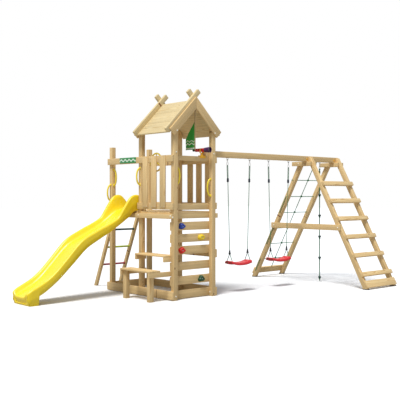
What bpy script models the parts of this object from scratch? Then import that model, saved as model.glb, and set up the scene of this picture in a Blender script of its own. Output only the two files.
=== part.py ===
"""Wooden play tower with a wave slide, a bench and table, swings and a climbing frame.

Metres, +Z up. The origin is the middle of the front near post's foot, on the ground.
+X runs along the swing beam, and +Y from the climbing wall to the ladder end. The near
side of the tower is the one at -X, where the slide, the bench and the table are.
"""

import math

import bmesh
import bpy
from mathutils import Matrix, Vector

# Fits: between faces that touch, round a pin, and how far joined pieces run together
GAP = 0.0003
RUNNING_GAP = 0.0004
JOINED = 0.0001

# Timber sections, planed softwood
POST = 0.070
BOARD_W = 0.120
BOARD_T = 0.028
RAIL_W = 0.095
JOIST_W = 0.070
JOIST_T = 0.045
SLAT_T = 0.018
BEAM = 0.090

# Tower grid and heights
SPAN = 0.727
BAY = 0.7625
LOW_POST_H = 2.238
TOP_RAIL_TOP = 2.060
LOW_RAIL_TOP = 1.380
TOP_RAIL_OVERHANG = 0.015
DECK_TOP = 1.253
DECK_OVERHANG = 0.018
DECK_BOARDS = 6
DECK_SLIT = 0.004
KICK_LIFT = 0.0255
BASE_LIFT = 0.010
SLAT_BOTTOM = 1.315
SLAT_PITCH = 0.203
FAR_SLATS = (0.058, 0.398)
SIDE_BOARD_Z = 0.570

# Roof over the four tall posts
ROOF_PITCH = math.radians(45)
RIDGE = 2.8735
ROOF_T = 0.020
ROOF_RUN = 0.691
ROOF_BOARDS = 3
ROOF_SEAM = 0.002
GABLE_RUN = 0.664
GABLE_LIFT = 0.028
BAR_RUN = 0.705
BAR_PAST_RIDGE = 0.150

# Climbing wall, bench and table
BENCH_TOP = 0.436
BENCH_T = 0.025
BENCH_REACH = 0.390
BENCH_DEPTH = 0.200
BENCH_LEG_REACH = 0.355
TABLE_T = 0.022
TABLE_REACH = 0.125
TABLE_DEPTH = 0.210
TABLE_LIP = 0.002
ARM_CLEAR_UNDER = 0.012
ARM_CLEAR_OVER = 0.003
UPPER_PLANK_PITCH = 0.173
LOWER_PLANK_Z = 0.008
HOLD_W = 0.130
HOLD_H = 0.105
HOLD_D = 0.048
HOLD_INSET = 0.160

# Slide: reach is the distance out from the tower's near face
SLIDE_Y = 1.070
SLIDE_HALF = 0.250
SLIDE_FOOT_HALF = 0.218
SLIDE_REACH = 1.815
SLIDE_FOOT_START = 1.625
SLIDE_FOOT_BACK = 0.050
SLIDE_NOSE = 0.012
SLIDE_STATIONS = 34
SLIDE_WALL = 0.005
SLIDE_LIP = 0.040
SLIDE_RIM = (
    (-0.150, 1.420), (-0.095, 1.490), (0.030, 1.494), (0.136, 1.463), (0.245, 1.290),
    (0.355, 1.146), (0.708, 0.975), (0.962, 0.838), (1.209, 0.590), (1.369, 0.429),
    (1.525, 0.314), (1.815, 0.170),
)
SLIDE_BED = (
    (-0.150, 1.266), (0.030, 1.264), (0.136, 1.222), (0.355, 1.062), (0.708, 0.888),
    (0.962, 0.752), (1.209, 0.510), (1.369, 0.350), (1.525, 0.238), (1.815, 0.102),
)
SLIDE_UNDER = (
    (-0.150, 1.2536), (0.060, 1.2536), (0.160, 1.168), (0.464, 0.971), (0.688, 0.850),
    (0.890, 0.731), (1.102, 0.533), (1.340, 0.316), (1.525, 0.182), (1.620, 0.130),
)

# Ladder at the end
LADDER_X = (0.100, 0.145)
STILE_W = 0.055
LADDER_LEAN = 0.440
LADDER_FOOT = 0.590
RUNG_RADIUS = 0.016
RUNG_HEIGHTS = (0.355, 0.645, 0.935)

# Handles, wheel, sign and flag
HIGH_HANDLE_DROP = 0.292
HIGH_SIDE_HANDLE_DROP = 0.290
LOW_HANDLE_DROP = 0.456
END_HANDLE_DROP = 0.530
HANDLE_LENGTH = 0.270
HANDLE_BOW = 0.075
HANDLE_RADIUS = 0.0125
FLANGE_RADIUS = 0.021
FLANGE_T = 0.006
WHEEL_Y = 0.441
WHEEL_DROP = 0.088
WHEEL_RADIUS = 0.130
WHEEL_RIM_RADIUS = 0.0125
WHEEL_STANDOFF = 0.055
WHEEL_SPOKES = 3
SPOKE_RADIUS = 0.009
HUB_RADIUS = 0.028
HUB_LENGTH = 0.028
CAP_RADIUS = 0.017
CAP_T = 0.006
AXLE_RADIUS = 0.010
SIGN_Y = (0.825, 1.237)
SIGN_T = 0.008
SIGN_H = 0.085
POLE_RADIUS = 0.008
POLE_OVER_RAIL = 0.080
FLAG_WIDTH = 0.203
FLAG_TIP_DROP = 0.3135
FLAG_OVER_RAIL = 0.090
FLAG_SHOULDER_SHARE = 0.39
FLAG_T = 0.003

# Telescope on the front rail
SCOPE_X = 0.565
SCOPE_PIVOT_LIFT = 0.095
SCOPE_AIM = math.radians(12.8)
SCOPE_BASE_W = 0.105
SCOPE_FRONT = 0.155
SCOPE_BACK = 0.155
SCOPE_BODY_RADIUS = 0.029
SCOPE_MOUTH_RADIUS = 0.0425
SCOPE_EYE_RADIUS = 0.0175
SCOPE_PIN_RADIUS = 0.005
SCOPE_EYE_END = 0.105
SCOPE_HOOD_START = 0.060
SCOPE_PLATE_T = 0.014
SCOPE_APRON_T = 0.010
SCOPE_APRON_DROP = 0.025
SCOPE_STAND_LIFT = 0.048
SCOPE_STAND_RADIUS = 0.022
SCOPE_STAND_TAPER = 0.005
SCOPE_ARM_CLEAR = 0.003
SCOPE_ARM_T = 0.007
SCOPE_ARM_W = 0.022
SCOPE_ARM_RISE = 0.014
SCOPE_PIN_PAST = 0.004
SCOPE_WALL = 0.004
SCOPE_MOUTH_DEPTH = 0.020

# Swing beam, climbing frame and what hangs
BEAM_START = 0.625
BEAM_END = 3.780
FRAME_X = (2.970, 3.707)
LEG = 0.070
STAIR_TILT = math.radians(28.36904629)
STAIR_REACH = 1.155
NET_TILT = math.radians(28.81079374)
NET_REACH = 1.374
STAIR_LEG_TOP = 2.140
COLLAR_STAIR_END = 0.045
COLLAR_NET_END = 0.365
BRACE_Z = 0.915
BRACE_STAIR_END = 0.645
BRACE_NET_END = 0.865
TREADS = 6
TREAD_FIRST = 0.225
TREAD_RISE = 0.290
STAIR_BOARD_Z = 0.024
NET_BOARD_Z = 0.060
NET_ROPE_RADIUS = 0.006
NET_ROWS = 6
NET_TOP_ROW = 1.750
NET_ROW_PITCH = 0.283
NET_ROPE_BEND = 0.200
NET_ROPE_HEAD = 0.020
NET_ROPE_TAIL = 0.030
KNOB_ROPE_INSET = 0.283
KNOB_ROPE_RADIUS = 0.008
KNOB_ROPE_END = 0.014
KNOB_HEIGHTS = (1.494, 1.139, 0.776, 0.412, 0.075)
KNOB_RADIUS = 0.026
KNOB_T = 0.036
SWING_XS = (1.356, 2.2715)
HOOK_HALF = 0.241
ROPE_HALF = 0.194
HINGE_DROP = 0.030
HOOK_PIN_RADIUS = 0.004
EYE_PLATE_RADIUS = 0.024
EYE_PLATE_T = 0.004
STAPLE_HALF = 0.014
STAPLE_BEND = 0.007
SWIVEL_LENGTH = 0.012
SWIVEL_RADIUS = 0.011
RING_DROP = 0.075
RING_RADIUS = 0.016
RING_WIRE = 0.004
SWING_ROPE_RADIUS = 0.005
ADJUSTER_Z = 1.720
ADJUSTER_X = 0.018
ADJUSTER_Y = 0.038
ADJUSTER_H = 0.060
CONE_TOP = 0.650
CONE_BOTTOM = 0.585
CONE_RADIUS = 0.020
ROPE_SPLIT = 0.055
SEAT_Z = 0.450
SEAT_LENGTH = 0.430
SEAT_WIDTH = 0.170
SEAT_T = 0.006
SEAT_FLANGE = 0.036
SEAT_FLANGE_SPLAY = 0.006
SEAT_ROUND = 0.010
SEAT_RISE = 0.035
SEAT_STEPS = 14

# Bolts through the climbing frame's braces
BOLT_RADIUS = 0.006

# Faces of the tower that other pieces are fixed to
NEAR = -POST / 2
FAR = SPAN + POST / 2
FRONT = -POST / 2
INNER = POST / 2
END = 2 * BAY + POST / 2
RAIL_T = BOARD_T
DECK_BOTTOM = DECK_TOP - BOARD_T
BEARER_TOP = DECK_BOTTOM + JOINED
BEAM_Y = INNER + GAP + BEAM / 2
BEAM_Z = TOP_RAIL_TOP + GAP
BEAM_TOP = BEAM_Z + BEAM
HINGE_Z = BEAM_Z - HINGE_DROP
WHEEL_Z = TOP_RAIL_TOP - WHEEL_DROP
KNOB_ROPE_X = FRAME_X[0] + LEG + KNOB_ROPE_INSET
STAIR_LEAN = math.tan(STAIR_TILT)
NET_LEAN = math.tan(NET_TILT)
SCOPE_PIVOT_Z = TOP_RAIL_TOP + SCOPE_PIVOT_LIFT
SCOPE_BASE_TOP = TOP_RAIL_TOP + SCOPE_STAND_LIFT
MIDDLE = SPAN / 2
BENCH_ARM_TOP = BENCH_TOP - BENCH_T
BENCH_ARM_Z = BENCH_ARM_TOP - JOIST_W
TABLE_PLANK_Z = BENCH_ARM_TOP + ARM_CLEAR_OVER
TABLE_ARM_Z = TABLE_PLANK_Z + BOARD_W + ARM_CLEAR_UNDER
TABLE_ARM_TOP = TABLE_ARM_Z + JOIST_W
FIRST_UPPER_PLANK = TABLE_ARM_TOP + TABLE_T + ARM_CLEAR_OVER
PLANK_BOTTOMS = (
    LOWER_PLANK_Z,
    BENCH_ARM_Z - ARM_CLEAR_UNDER - BOARD_W,
    TABLE_PLANK_Z,
    FIRST_UPPER_PLANK,
    FIRST_UPPER_PLANK + UPPER_PLANK_PITCH,
    FIRST_UPPER_PLANK + 2 * UPPER_PLANK_PITCH,
)

# Colour, roughness and metallic value of each material
FINISHES = {
    "pine": ((0.62, 0.45, 0.26), 0.65, 0.0),
    "pale_pine": ((0.80, 0.68, 0.50), 0.65, 0.0),
    "slide_plastic": ((0.90, 0.62, 0.02), 0.35, 0.0),
    "yellow_plastic": ((0.90, 0.66, 0.04), 0.35, 0.0),
    "orange_plastic": ((0.85, 0.36, 0.03), 0.40, 0.0),
    "red_plastic": ((0.62, 0.02, 0.02), 0.40, 0.0),
    "blue_plastic": ((0.02, 0.12, 0.45), 0.40, 0.0),
    "lime_plastic": ((0.30, 0.52, 0.04), 0.40, 0.0),
    "green_plastic": ((0.01, 0.16, 0.06), 0.40, 0.0),
    "black_plastic": ((0.02, 0.02, 0.02), 0.45, 0.0),
    "green_rope": ((0.02, 0.20, 0.08), 0.85, 0.0),
    "green_cloth": ((0.01, 0.24, 0.09), 0.80, 0.0),
}


def clear_scene():
    for old in list(bpy.data.objects):
        bpy.data.objects.remove(old, do_unlink=True)


def make_collection(name):
    collection = bpy.data.collections.new(name)
    bpy.context.scene.collection.children.link(collection)
    return collection


def make_material(name, finish):
    colour, roughness, metallic = FINISHES[finish]
    material = bpy.data.materials.new(name)
    material.use_nodes = True
    shader = material.node_tree.nodes["Principled BSDF"]
    shader.inputs["Base Color"].default_value = (*colour, 1.0)
    shader.inputs["Roughness"].default_value = roughness
    shader.inputs["Metallic"].default_value = metallic
    material.diffuse_color = (*colour, 1.0)
    return material


def part(name, finish, shape, pivot=(0.0, 0.0, 0.0), smooth=False):
    """Makes the named object from a bmesh in world coordinates, with its origin at the pivot."""
    bmesh.ops.recalc_face_normals(shape, faces=shape.faces[:])
    bmesh.ops.translate(shape, verts=shape.verts[:], vec=-Vector(pivot))
    mesh = bpy.data.meshes.new(name)
    shape.to_mesh(mesh)
    shape.free()
    if smooth:
        mesh.shade_smooth()
        mesh.set_sharp_from_angle(angle=math.radians(40))
    mesh.materials.append(make_material(name, finish))
    made = bpy.data.objects.new(name, mesh)
    made.location = pivot
    TOWER.objects.link(made)
    return made


def box(x, y, z):
    """A box between three pairs of limits."""
    limits = (x, y, z)
    centre = [(low + high) / 2 for low, high in limits]
    size = [abs(high - low) for low, high in limits]
    matrix = Matrix.Translation(centre) @ Matrix.Diagonal((*size, 1.0))
    piece = bmesh.new()
    bmesh.ops.create_cube(piece, size=1.0, matrix=matrix)
    return piece


def frame_at(place, direction):
    """The matrix that carries local +Z to the direction at the place."""
    turn = Vector(direction).to_track_quat("Z", "Y").to_matrix().to_4x4()
    return Matrix.Translation(place) @ turn


def cylinder(start, end, radius, segments=16, end_radius=None):
    start = Vector(start)
    end = Vector(end)
    piece = bmesh.new()
    bmesh.ops.create_cone(
        piece,
        cap_ends=True,
        segments=segments,
        radius1=radius,
        radius2=radius if end_radius is None else end_radius,
        depth=(end - start).length,
        matrix=frame_at((start + end) / 2, end - start),
    )
    return piece


def trim(piece, point, normal):
    """Cuts away what lies beyond the plane and closes the cut."""
    geometry = piece.verts[:] + piece.edges[:] + piece.faces[:]
    bmesh.ops.bisect_plane(
        piece, geom=geometry, plane_co=point, plane_no=normal, clear_outer=True
    )
    rim = [edge for edge in piece.edges if edge.is_boundary]
    bmesh.ops.holes_fill(piece, edges=rim)


def timber(start, end, across, width, depth, cuts=()):
    """A straight timber along start to end; across is the direction of its width."""
    start = Vector(start)
    end = Vector(end)
    along = end - start
    across = Vector(across).normalized()
    out = along.normalized().cross(across)
    matrix = Matrix((across * width, out * depth, along)).transposed().to_4x4()
    matrix.translation = (start + end) / 2
    piece = bmesh.new()
    bmesh.ops.create_cube(piece, size=1.0, matrix=matrix)
    for point, normal in cuts:
        trim(piece, point, normal)
    return piece


def as_object(piece):
    mesh = bpy.data.meshes.new("maker")
    piece.to_mesh(mesh)
    piece.free()
    maker = bpy.data.objects.new("maker", mesh)
    CUTTERS.objects.link(maker)
    maker.hide_render = True
    maker.display_type = "WIRE"
    return maker


def taken_from(maker):
    """The evaluated mesh of a helper object as a welded bmesh; the helper is removed."""
    depsgraph = bpy.context.evaluated_depsgraph_get()
    mesh = bpy.data.meshes.new_from_object(maker.evaluated_get(depsgraph))
    piece = bmesh.new()
    piece.from_mesh(mesh)
    bmesh.ops.remove_doubles(piece, verts=piece.verts[:], dist=0.00001)
    bpy.data.meshes.remove(mesh)
    bpy.data.objects.remove(maker, do_unlink=True)
    return piece


def combine(base, tool, operation):
    """The base joined with the tool (UNION) or cut by it (DIFFERENCE)."""
    for piece in (base, tool):
        bmesh.ops.recalc_face_normals(piece, faces=piece.faces[:])
    maker = as_object(base)
    cutter = as_object(tool)
    modifier = maker.modifiers.new("combine", "BOOLEAN")
    modifier.operation = operation
    modifier.solver = "EXACT"
    modifier.object = cutter
    made = taken_from(maker)
    bpy.data.objects.remove(cutter, do_unlink=True)
    return made


def joined(pieces):
    """One body from pieces that each run into one before them."""
    whole = pieces[0]
    for piece in pieces[1:]:
        whole = combine(whole, piece, "UNION")
    return whole


def tube(points, radius, closed=False, resolution=2):
    """A round tube along the points, with filled caps unless it is a closed loop."""
    curve = bpy.data.curves.new("tube", "CURVE")
    curve.dimensions = "3D"
    curve.bevel_depth = radius
    curve.bevel_resolution = resolution
    curve.use_fill_caps = not closed
    spline = curve.splines.new("POLY")
    spline.points.add(len(points) - 1)
    for knot, place in zip(spline.points, points):
        knot.co = (*place, 1.0)
    spline.use_cyclic_u = closed
    maker = bpy.data.objects.new("tube", curve)
    CUTTERS.objects.link(maker)
    piece = taken_from(maker)
    bpy.data.curves.remove(curve)
    return piece


def turned(profile, place, direction, segments=24):
    """A turned solid: the closed profile of (radius, height) points swept round local +Z."""
    mesh = bpy.data.meshes.new("profile")
    points = [(radius, 0.0, height) for radius, height in profile]
    edges = [(index, index + 1) for index in range(len(points) - 1)]
    if profile[0][0] > 0:
        edges.append((len(points) - 1, 0))
    mesh.from_pydata(points, edges, [])
    maker = bpy.data.objects.new("profile", mesh)
    CUTTERS.objects.link(maker)
    screw = maker.modifiers.new("turn", "SCREW")
    screw.steps = segments
    screw.render_steps = segments
    screw.use_merge_vertices = True
    screw.merge_threshold = 0.00001
    piece = taken_from(maker)
    bpy.data.meshes.remove(mesh)
    bmesh.ops.transform(piece, matrix=frame_at(place, direction), verts=piece.verts[:])
    bmesh.ops.recalc_face_normals(piece, faces=piece.faces[:])
    return piece


def arc(centre, first, second, start, end, steps):
    """Points on an arc in the plane of the two vectors, which are its radii."""
    points = []
    for step in range(steps + 1):
        angle = start + (end - start) * step / steps
        offset = Vector(first) * math.cos(angle) + Vector(second) * math.sin(angle)
        points.append(Vector(centre) + offset)
    return points


def smooth_value(knots, place):
    """A smooth curve through the (place, value) knots, read at the place."""
    last = len(knots) - 1
    index = 0
    while index < last - 1 and place > knots[index + 1][0]:
        index += 1

    def slope(at):
        low = knots[max(at - 1, 0)]
        high = knots[min(at + 1, last)]
        return (high[1] - low[1]) / (high[0] - low[0])

    x0, v0 = knots[index]
    x1, v1 = knots[index + 1]
    width = x1 - x0
    share = min(max((place - x0) / width, 0.0), 1.0)
    square = share * share
    cube = square * share
    return (
        (2 * cube - 3 * square + 1) * v0
        + (cube - 2 * square + share) * width * slope(index)
        + (3 * square - 2 * cube) * v1
        + (cube - square) * width * slope(index + 1)
    )


def roof_point(side, run, lift):
    """X and Z on a slope: run is down from the ridge, lift is above the roof boards."""
    x = MIDDLE + side * (run * math.cos(ROOF_PITCH) + lift * math.sin(ROOF_PITCH))
    z = RIDGE - run * math.sin(ROOF_PITCH) + lift * math.cos(ROOF_PITCH)
    return x, z


def roof_normal(side):
    return Vector((side * math.sin(ROOF_PITCH), 0.0, math.cos(ROOF_PITCH)))


def sloped_board(side, run, lift, y, cuts=()):
    """A board on one slope between two runs, two lifts and two Y limits."""
    middle_lift = sum(lift) / 2
    middle_y = sum(y) / 2
    low_x, low_z = roof_point(side, run[1], middle_lift)
    high_x, high_z = roof_point(side, run[0], middle_lift)
    start = (low_x, middle_y, low_z)
    end = (high_x, middle_y, high_z)
    return timber(start, end, (0.0, 1.0, 0.0), y[1] - y[0], lift[1] - lift[0], cuts)


def make_posts():
    corners = (
        ("post_front_near", 0.0, 0.0),
        ("post_front_far", SPAN, 0.0),
        ("post_mid_near", 0.0, BAY),
        ("post_mid_far", SPAN, BAY),
        ("post_end_near", 0.0, 2 * BAY),
        ("post_end_far", SPAN, 2 * BAY),
    )
    for name, x, y in corners:
        if y > BAY:
            cuts = ()
            top = LOW_POST_H
        else:
            side = -1 if x < MIDDLE else 1
            point_x, point_z = roof_point(side, 0.0, -ROOF_T - GAP)
            cuts = (((point_x, 0.0, point_z), roof_normal(side)),)
            top = RIDGE
        post = timber((x, y, 0.0), (x, y, top), (1.0, 0.0, 0.0), POST, POST, cuts)
        part(name, "pine", post)


def side_limits(side, inner_offset, thickness):
    """X limits of a board lying outside the near (-1) or the far (+1) posts."""
    face = NEAR if side < 0 else FAR
    inner = face + side * (inner_offset + GAP)
    outer = inner + side * thickness
    return min(inner, outer), max(inner, outer)


def make_balustrades():
    """On each side a top rail, a low rail and upright slats screwed to both."""
    first = BAY / 2 - SLAT_PITCH
    near = [first + SLAT_PITCH * index for index in range(3)]
    far = near + [BAY + POST / 2 + offset + BOARD_W / 2 for offset in FAR_SLATS]
    for side, name, centres in ((-1, "balustrade_near", near), (1, "balustrade_far", far)):
        x = side_limits(side, 0.0, RAIL_T)
        top_y = (FRONT, END + TOP_RAIL_OVERHANG)
        low_y = (FRONT, BAY + POST / 2 if side < 0 else END)
        pieces = [box(x, top_y, (TOP_RAIL_TOP - RAIL_W, TOP_RAIL_TOP))]
        slat_x = side_limits(side, RAIL_T - JOINED, SLAT_T)
        for centre in centres:
            y = (centre - BOARD_W / 2, centre + BOARD_W / 2)
            pieces.append(box(slat_x, y, (SLAT_BOTTOM, TOP_RAIL_TOP)))
        pieces.append(box(x, low_y, (LOW_RAIL_TOP - RAIL_W, LOW_RAIL_TOP)))
        part(name, "pine", joined(pieces))


def make_front_rails():
    y = (INNER + GAP, INNER + GAP + JOIST_T)
    top = box((NEAR, FAR), y, (TOP_RAIL_TOP - JOIST_W, TOP_RAIL_TOP))
    part("rail_top_front", "pine", top)
    y = (INNER + GAP, INNER + GAP + BOARD_T)
    bottom = DECK_TOP + KICK_LIFT
    part("kick_board_front", "pine", box((NEAR, FAR), y, (bottom, bottom + RAIL_W)))


def make_side_boards():
    """The lowest boards on three sides, and one half way up on the far side."""
    z = (BASE_LIFT, BASE_LIFT + BOARD_W)
    end_face = END + GAP
    pieces = [box(side_limits(-1, 0.0, BOARD_T), (FRONT, end_face + BOARD_T), z)]
    x = (NEAR - GAP - JOINED, FAR + GAP + JOINED)
    pieces.append(box(x, (end_face, end_face + BOARD_T), z))
    pieces.append(box(side_limits(1, 0.0, BOARD_T), (FRONT, end_face + BOARD_T), z))
    part("base_boards", "pine", joined(pieces))
    z = (SIDE_BOARD_Z, SIDE_BOARD_Z + BOARD_W)
    side = box(side_limits(1, 0.0, BOARD_T), (FRONT, BAY + POST / 2), z)
    part("side_board_far", "pine", side)


def make_deck():
    """Boards across the tower on bearers outside the posts and cross pieces between them."""
    z = (DECK_BOTTOM, DECK_TOP)
    pitch = (BAY - POST) / DECK_BOARDS
    x = (NEAR - DECK_OVERHANG, FAR + DECK_OVERHANG)
    between = (NEAR + POST + GAP, FAR - POST - GAP)
    bearer_z = (BEARER_TOP - JOIST_W, BEARER_TOP)
    end_face = END + GAP
    pieces = [box(side_limits(-1, 0.0, JOIST_T), (FRONT, end_face + JOIST_T), bearer_z)]
    for row in (0, 1):
        for index in range(DECK_BOARDS):
            start = row * BAY + POST / 2 + index * pitch + DECK_SLIT / 2
            pieces.append(box(x, (start, start + pitch - DECK_SLIT), z))
    pieces.append(box(side_limits(1, 0.0, JOIST_T), (FRONT, end_face + JOIST_T), bearer_z))
    pieces.append(box((NEAR, FAR), (INNER + GAP, INNER + GAP + JOIST_T), bearer_z))
    cross_z = (BEARER_TOP - JOIST_T, BEARER_TOP)
    for row, last in ((1, BAY + BOARD_W / 2), (2, END)):
        middle = row * BAY
        pieces.append(box(between, (middle - BOARD_W / 2, last), cross_z))
        board_y = (middle - POST / 2 + DECK_SLIT / 2, middle + POST / 2 - DECK_SLIT / 2)
        pieces.append(box(between, board_y, z))
    x = (NEAR - GAP - JOINED, FAR + GAP + JOINED)
    pieces.append(box(x, (end_face, end_face + JOIST_T), (DECK_TOP - RAIL_W, DECK_TOP)))
    part("deck", "pine", joined(pieces))


def make_climbing_wall():
    for number, bottom in enumerate(PLANK_BOTTOMS, start=1):
        y = (INNER + GAP, INNER + GAP + BOARD_T)
        plank = box((NEAR, FAR), y, (bottom, bottom + BOARD_W))
        part("climbing_plank_" + str(number), "pine", plank)
    left = HOLD_INSET
    right = SPAN - HOLD_INSET - POST / 2
    holds = (
        ("hold_blue", "blue_plastic", left, 5),
        ("hold_yellow", "yellow_plastic", right, 4),
        ("hold_red", "red_plastic", left, 3),
        ("hold_green", "green_plastic", right, 1),
    )
    for name, finish, x, plank in holds:
        z = PLANK_BOTTOMS[plank] + BOARD_W / 2
        face = Vector((x, INNER, z))
        size = Matrix.Diagonal((HOLD_W / 2, HOLD_D, HOLD_H / 2, 1.0))
        hold = bmesh.new()
        bmesh.ops.create_uvsphere(
            hold, u_segments=14, v_segments=9, radius=1.0, matrix=Matrix.Translation(face) @ size
        )
        trim(hold, face, (0.0, 1.0, 0.0))
        part(name, finish, hold, smooth=True)


def make_roof():
    """Each slope has its boards and the two bars across them that cross at the ridge."""
    back = BAY + POST / 2
    y = (FRONT + GAP, back - GAP)
    width = ROOF_RUN / ROOF_BOARDS
    for side, name in ((-1, "roof_slope_near"), (1, "roof_slope_far")):
        offset = 0.0 if side < 0 else JOIST_T + GAP
        pieces = []
        for start in (FRONT, back - 2 * JOIST_T - GAP):
            bar_y = (start + offset, start + offset + JOIST_T)
            run = (-BAR_PAST_RIDGE, BAR_RUN)
            pieces.append(sloped_board(side, run, (-JOINED, JOIST_W), bar_y))
        ridge_cut = ((MIDDLE + side * GAP, 0.0, 0.0), (-side, 0.0, 0.0))
        for index in range(ROOF_BOARDS):
            past_ridge = ROOF_T if index == 0 else -ROOF_SEAM / 2
            run = (index * width - past_ridge, (index + 1) * width - ROOF_SEAM / 2)
            cuts = (ridge_cut,) if index == 0 else ()
            pieces.insert(1 + index, sloped_board(side, run, (-ROOF_T, 0.0), y, cuts))
        part(name, "pale_pine", joined(pieces))

    fronts = ((FRONT - GAP - BOARD_T, FRONT - GAP), (back + GAP, back + GAP + BOARD_T))
    for y, name in zip(fronts, ("gable_front", "gable_rear")):
        pieces = []
        for side in (-1, 1):
            cut = ((MIDDLE - side * JOINED, 0.0, 0.0), (-side, 0.0, 0.0))
            lift = (GABLE_LIFT - BOARD_W, GABLE_LIFT)
            pieces.append(sloped_board(side, (-BOARD_W, GABLE_RUN), lift, y, (cut,)))
        part(name, "pine", joined(pieces))


def make_bench_and_table():
    """Arms fixed inside the near posts carry the seat and the table; legs hold the bench."""
    y = (INNER + GAP, BAY - POST / 2 - GAP)
    seat_x = (NEAR - BENCH_REACH, NEAR - BENCH_REACH + BENCH_DEPTH)
    table_x = (NEAR - TABLE_REACH, NEAR - TABLE_REACH + TABLE_DEPTH)
    bench = [box(seat_x, y, (BENCH_TOP - BENCH_T, BENCH_TOP))]
    table = [box(table_x, y, (TABLE_ARM_TOP, TABLE_ARM_TOP + TABLE_T))]
    for face, inward in ((y[0], 1), (y[1], -1)):
        arm_y = sorted((face, face + inward * BOARD_T))
        arm_x = (seat_x[0], NEAR + POST)
        bench.append(box(arm_x, arm_y, (BENCH_ARM_Z, BENCH_ARM_TOP + JOINED)))
        arm_x = (table_x[0] + TABLE_LIP, NEAR + POST)
        table.append(box(arm_x, arm_y, (TABLE_ARM_Z, TABLE_ARM_TOP + JOINED)))
        inner = face + inward * (BOARD_T - JOINED)
        leg_y = sorted((inner, inner + inward * POST))
        leg_x = (NEAR - BENCH_LEG_REACH, NEAR - BENCH_LEG_REACH + POST)
        bench.append(box(leg_x, leg_y, (0.0, BENCH_ARM_TOP + JOINED)))
    part("bench", "pine", joined(bench))
    part("table", "pine", joined(table))


def slide_section(reach):
    """Half a section, from the skirt's lower edge over the rim to the bed's middle."""
    share = max(reach, 0.0) / SLIDE_REACH
    half = SLIDE_HALF + (SLIDE_FOOT_HALF - SLIDE_HALF) * share
    rim = smooth_value(SLIDE_RIM, reach)
    bed = smooth_value(SLIDE_BED, reach)
    under = 0.0 if reach > SLIDE_FOOT_START else smooth_value(SLIDE_UNDER, reach)
    under += max(reach - SLIDE_REACH + SLIDE_FOOT_BACK, 0.0) / SLIDE_FOOT_BACK * bed
    inner = half - SLIDE_LIP
    return (
        (half, under),
        (half, rim - 0.014),
        (half - 0.004, rim - 0.004),
        (half - 0.014, rim),
        (inner + 0.006, rim - 0.002),
        (inner - 0.001, rim - 0.012),
        (inner - 0.014, bed + 0.030),
        (inner - 0.024, bed + 0.010),
        (inner - 0.044, bed),
        (0.0, bed),
    )


def make_slide():
    """A thin moulded channel: a swept section, closed at its foot under the lip."""
    first = SLIDE_RIM[0][0]
    step = (SLIDE_REACH - SLIDE_NOSE - first) / SLIDE_STATIONS
    rings = []
    for index in range(SLIDE_STATIONS + 1):
        reach = first + step * index
        half = slide_section(reach)
        full = [(y, z) for y, z in half] + [(-y, z) for y, z in reversed(half[:-1])]
        rings.append([(NEAR - reach, SLIDE_Y + y, z) for y, z in full])
    front = [(NEAR - SLIDE_REACH + SLIDE_FOOT_BACK, y, 0.0) for x, y, z in rings[-1]]
    for corner in (0, -1):
        front[corner] = (front[corner][0] + SLIDE_NOSE / 2, front[corner][1], 0.0)
    rings.append(front)
    surface = bmesh.new()
    grid = [[surface.verts.new(place) for place in ring] for ring in rings]
    for low, high in zip(grid, grid[1:]):
        for index in range(len(low) - 1):
            surface.faces.new((low[index], high[index], high[index + 1], low[index + 1]))
    maker = as_object(surface)
    solidify = maker.modifiers.new("wall", "SOLIDIFY")
    solidify.thickness = SLIDE_WALL
    solidify.offset = -1.0
    part("slide", "slide_plastic", taken_from(maker), smooth=True)


def ladder_line(z):
    """Y of the stile's edge that faces the tower."""
    return END + LADDER_FOOT - LADDER_LEAN * z


def make_ladder():
    lean = Vector((0.0, -LADDER_LEAN, 1.0)).normalized()
    out = Vector((0.0, lean.z, -lean.y))
    middle = out * STILE_W / 2
    start = Vector((0.0, ladder_line(0.0), 0.0)) + middle - lean * STILE_W
    end = Vector((0.0, ladder_line(DECK_TOP), DECK_TOP)) + middle + lean * STILE_W
    cuts = (
        ((0.0, 0.0, 0.0), (0.0, 0.0, -1.0)),
        ((0.0, 0.0, DECK_TOP), (0.0, 0.0, 1.0)),
        ((0.0, END + JOIST_T + 2 * GAP, 0.0), (0.0, -1.0, 0.0)),
    )
    left = LADDER_X
    right = (SPAN - LADDER_X[1], SPAN - LADDER_X[0])
    for x, name in ((left, "ladder_stile_near"), (right, "ladder_stile_far")):
        place = Vector((sum(x) / 2, 0.0, 0.0))
        stile = timber(start + place, end + place, (1.0, 0.0, 0.0), x[1] - x[0], STILE_W, cuts)
        part(name, "pine", stile)
    finishes = ("red_plastic", "lime_plastic", "green_plastic")
    names = ("ladder_rung_red", "ladder_rung_lime", "ladder_rung_green")
    for name, finish, z in zip(names, finishes, RUNG_HEIGHTS):
        y = ladder_line(z) + STILE_W / 2 / lean.z
        rung = cylinder((left[1] + GAP, y, z), (right[0] - GAP, y, z), RUNG_RADIUS)
        part(name, finish, rung, smooth=True)


def grab_handle(foot, out):
    """A bowed handle on an upright face: a tube with a round flange at each end."""
    foot = Vector(foot)
    out = Vector(out)
    up = Vector((0.0, 0.0, 1.0))
    half = HANDLE_LENGTH / 2 - HANDLE_RADIUS
    reach = HANDLE_BOW - HANDLE_RADIUS
    corner = reach * 0.7
    base = foot + out * FLANGE_T / 2
    inner = foot + out * (reach - corner)
    lower = arc(inner - up * (half - corner), -up * corner, out * corner, 0.0, math.pi / 2, 4)
    upper = arc(inner + up * (half - corner), out * corner, up * corner, 0.0, math.pi / 2, 4)
    points = [base - up * half] + lower + upper + [base + up * half]
    pieces = [tube(points, HANDLE_RADIUS)]
    for height in (-half, half):
        start = foot + up * height + out * GAP
        pieces.append(cylinder(start, start + out * FLANGE_T, FLANGE_RADIUS, 14))
    return joined(pieces)


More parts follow.
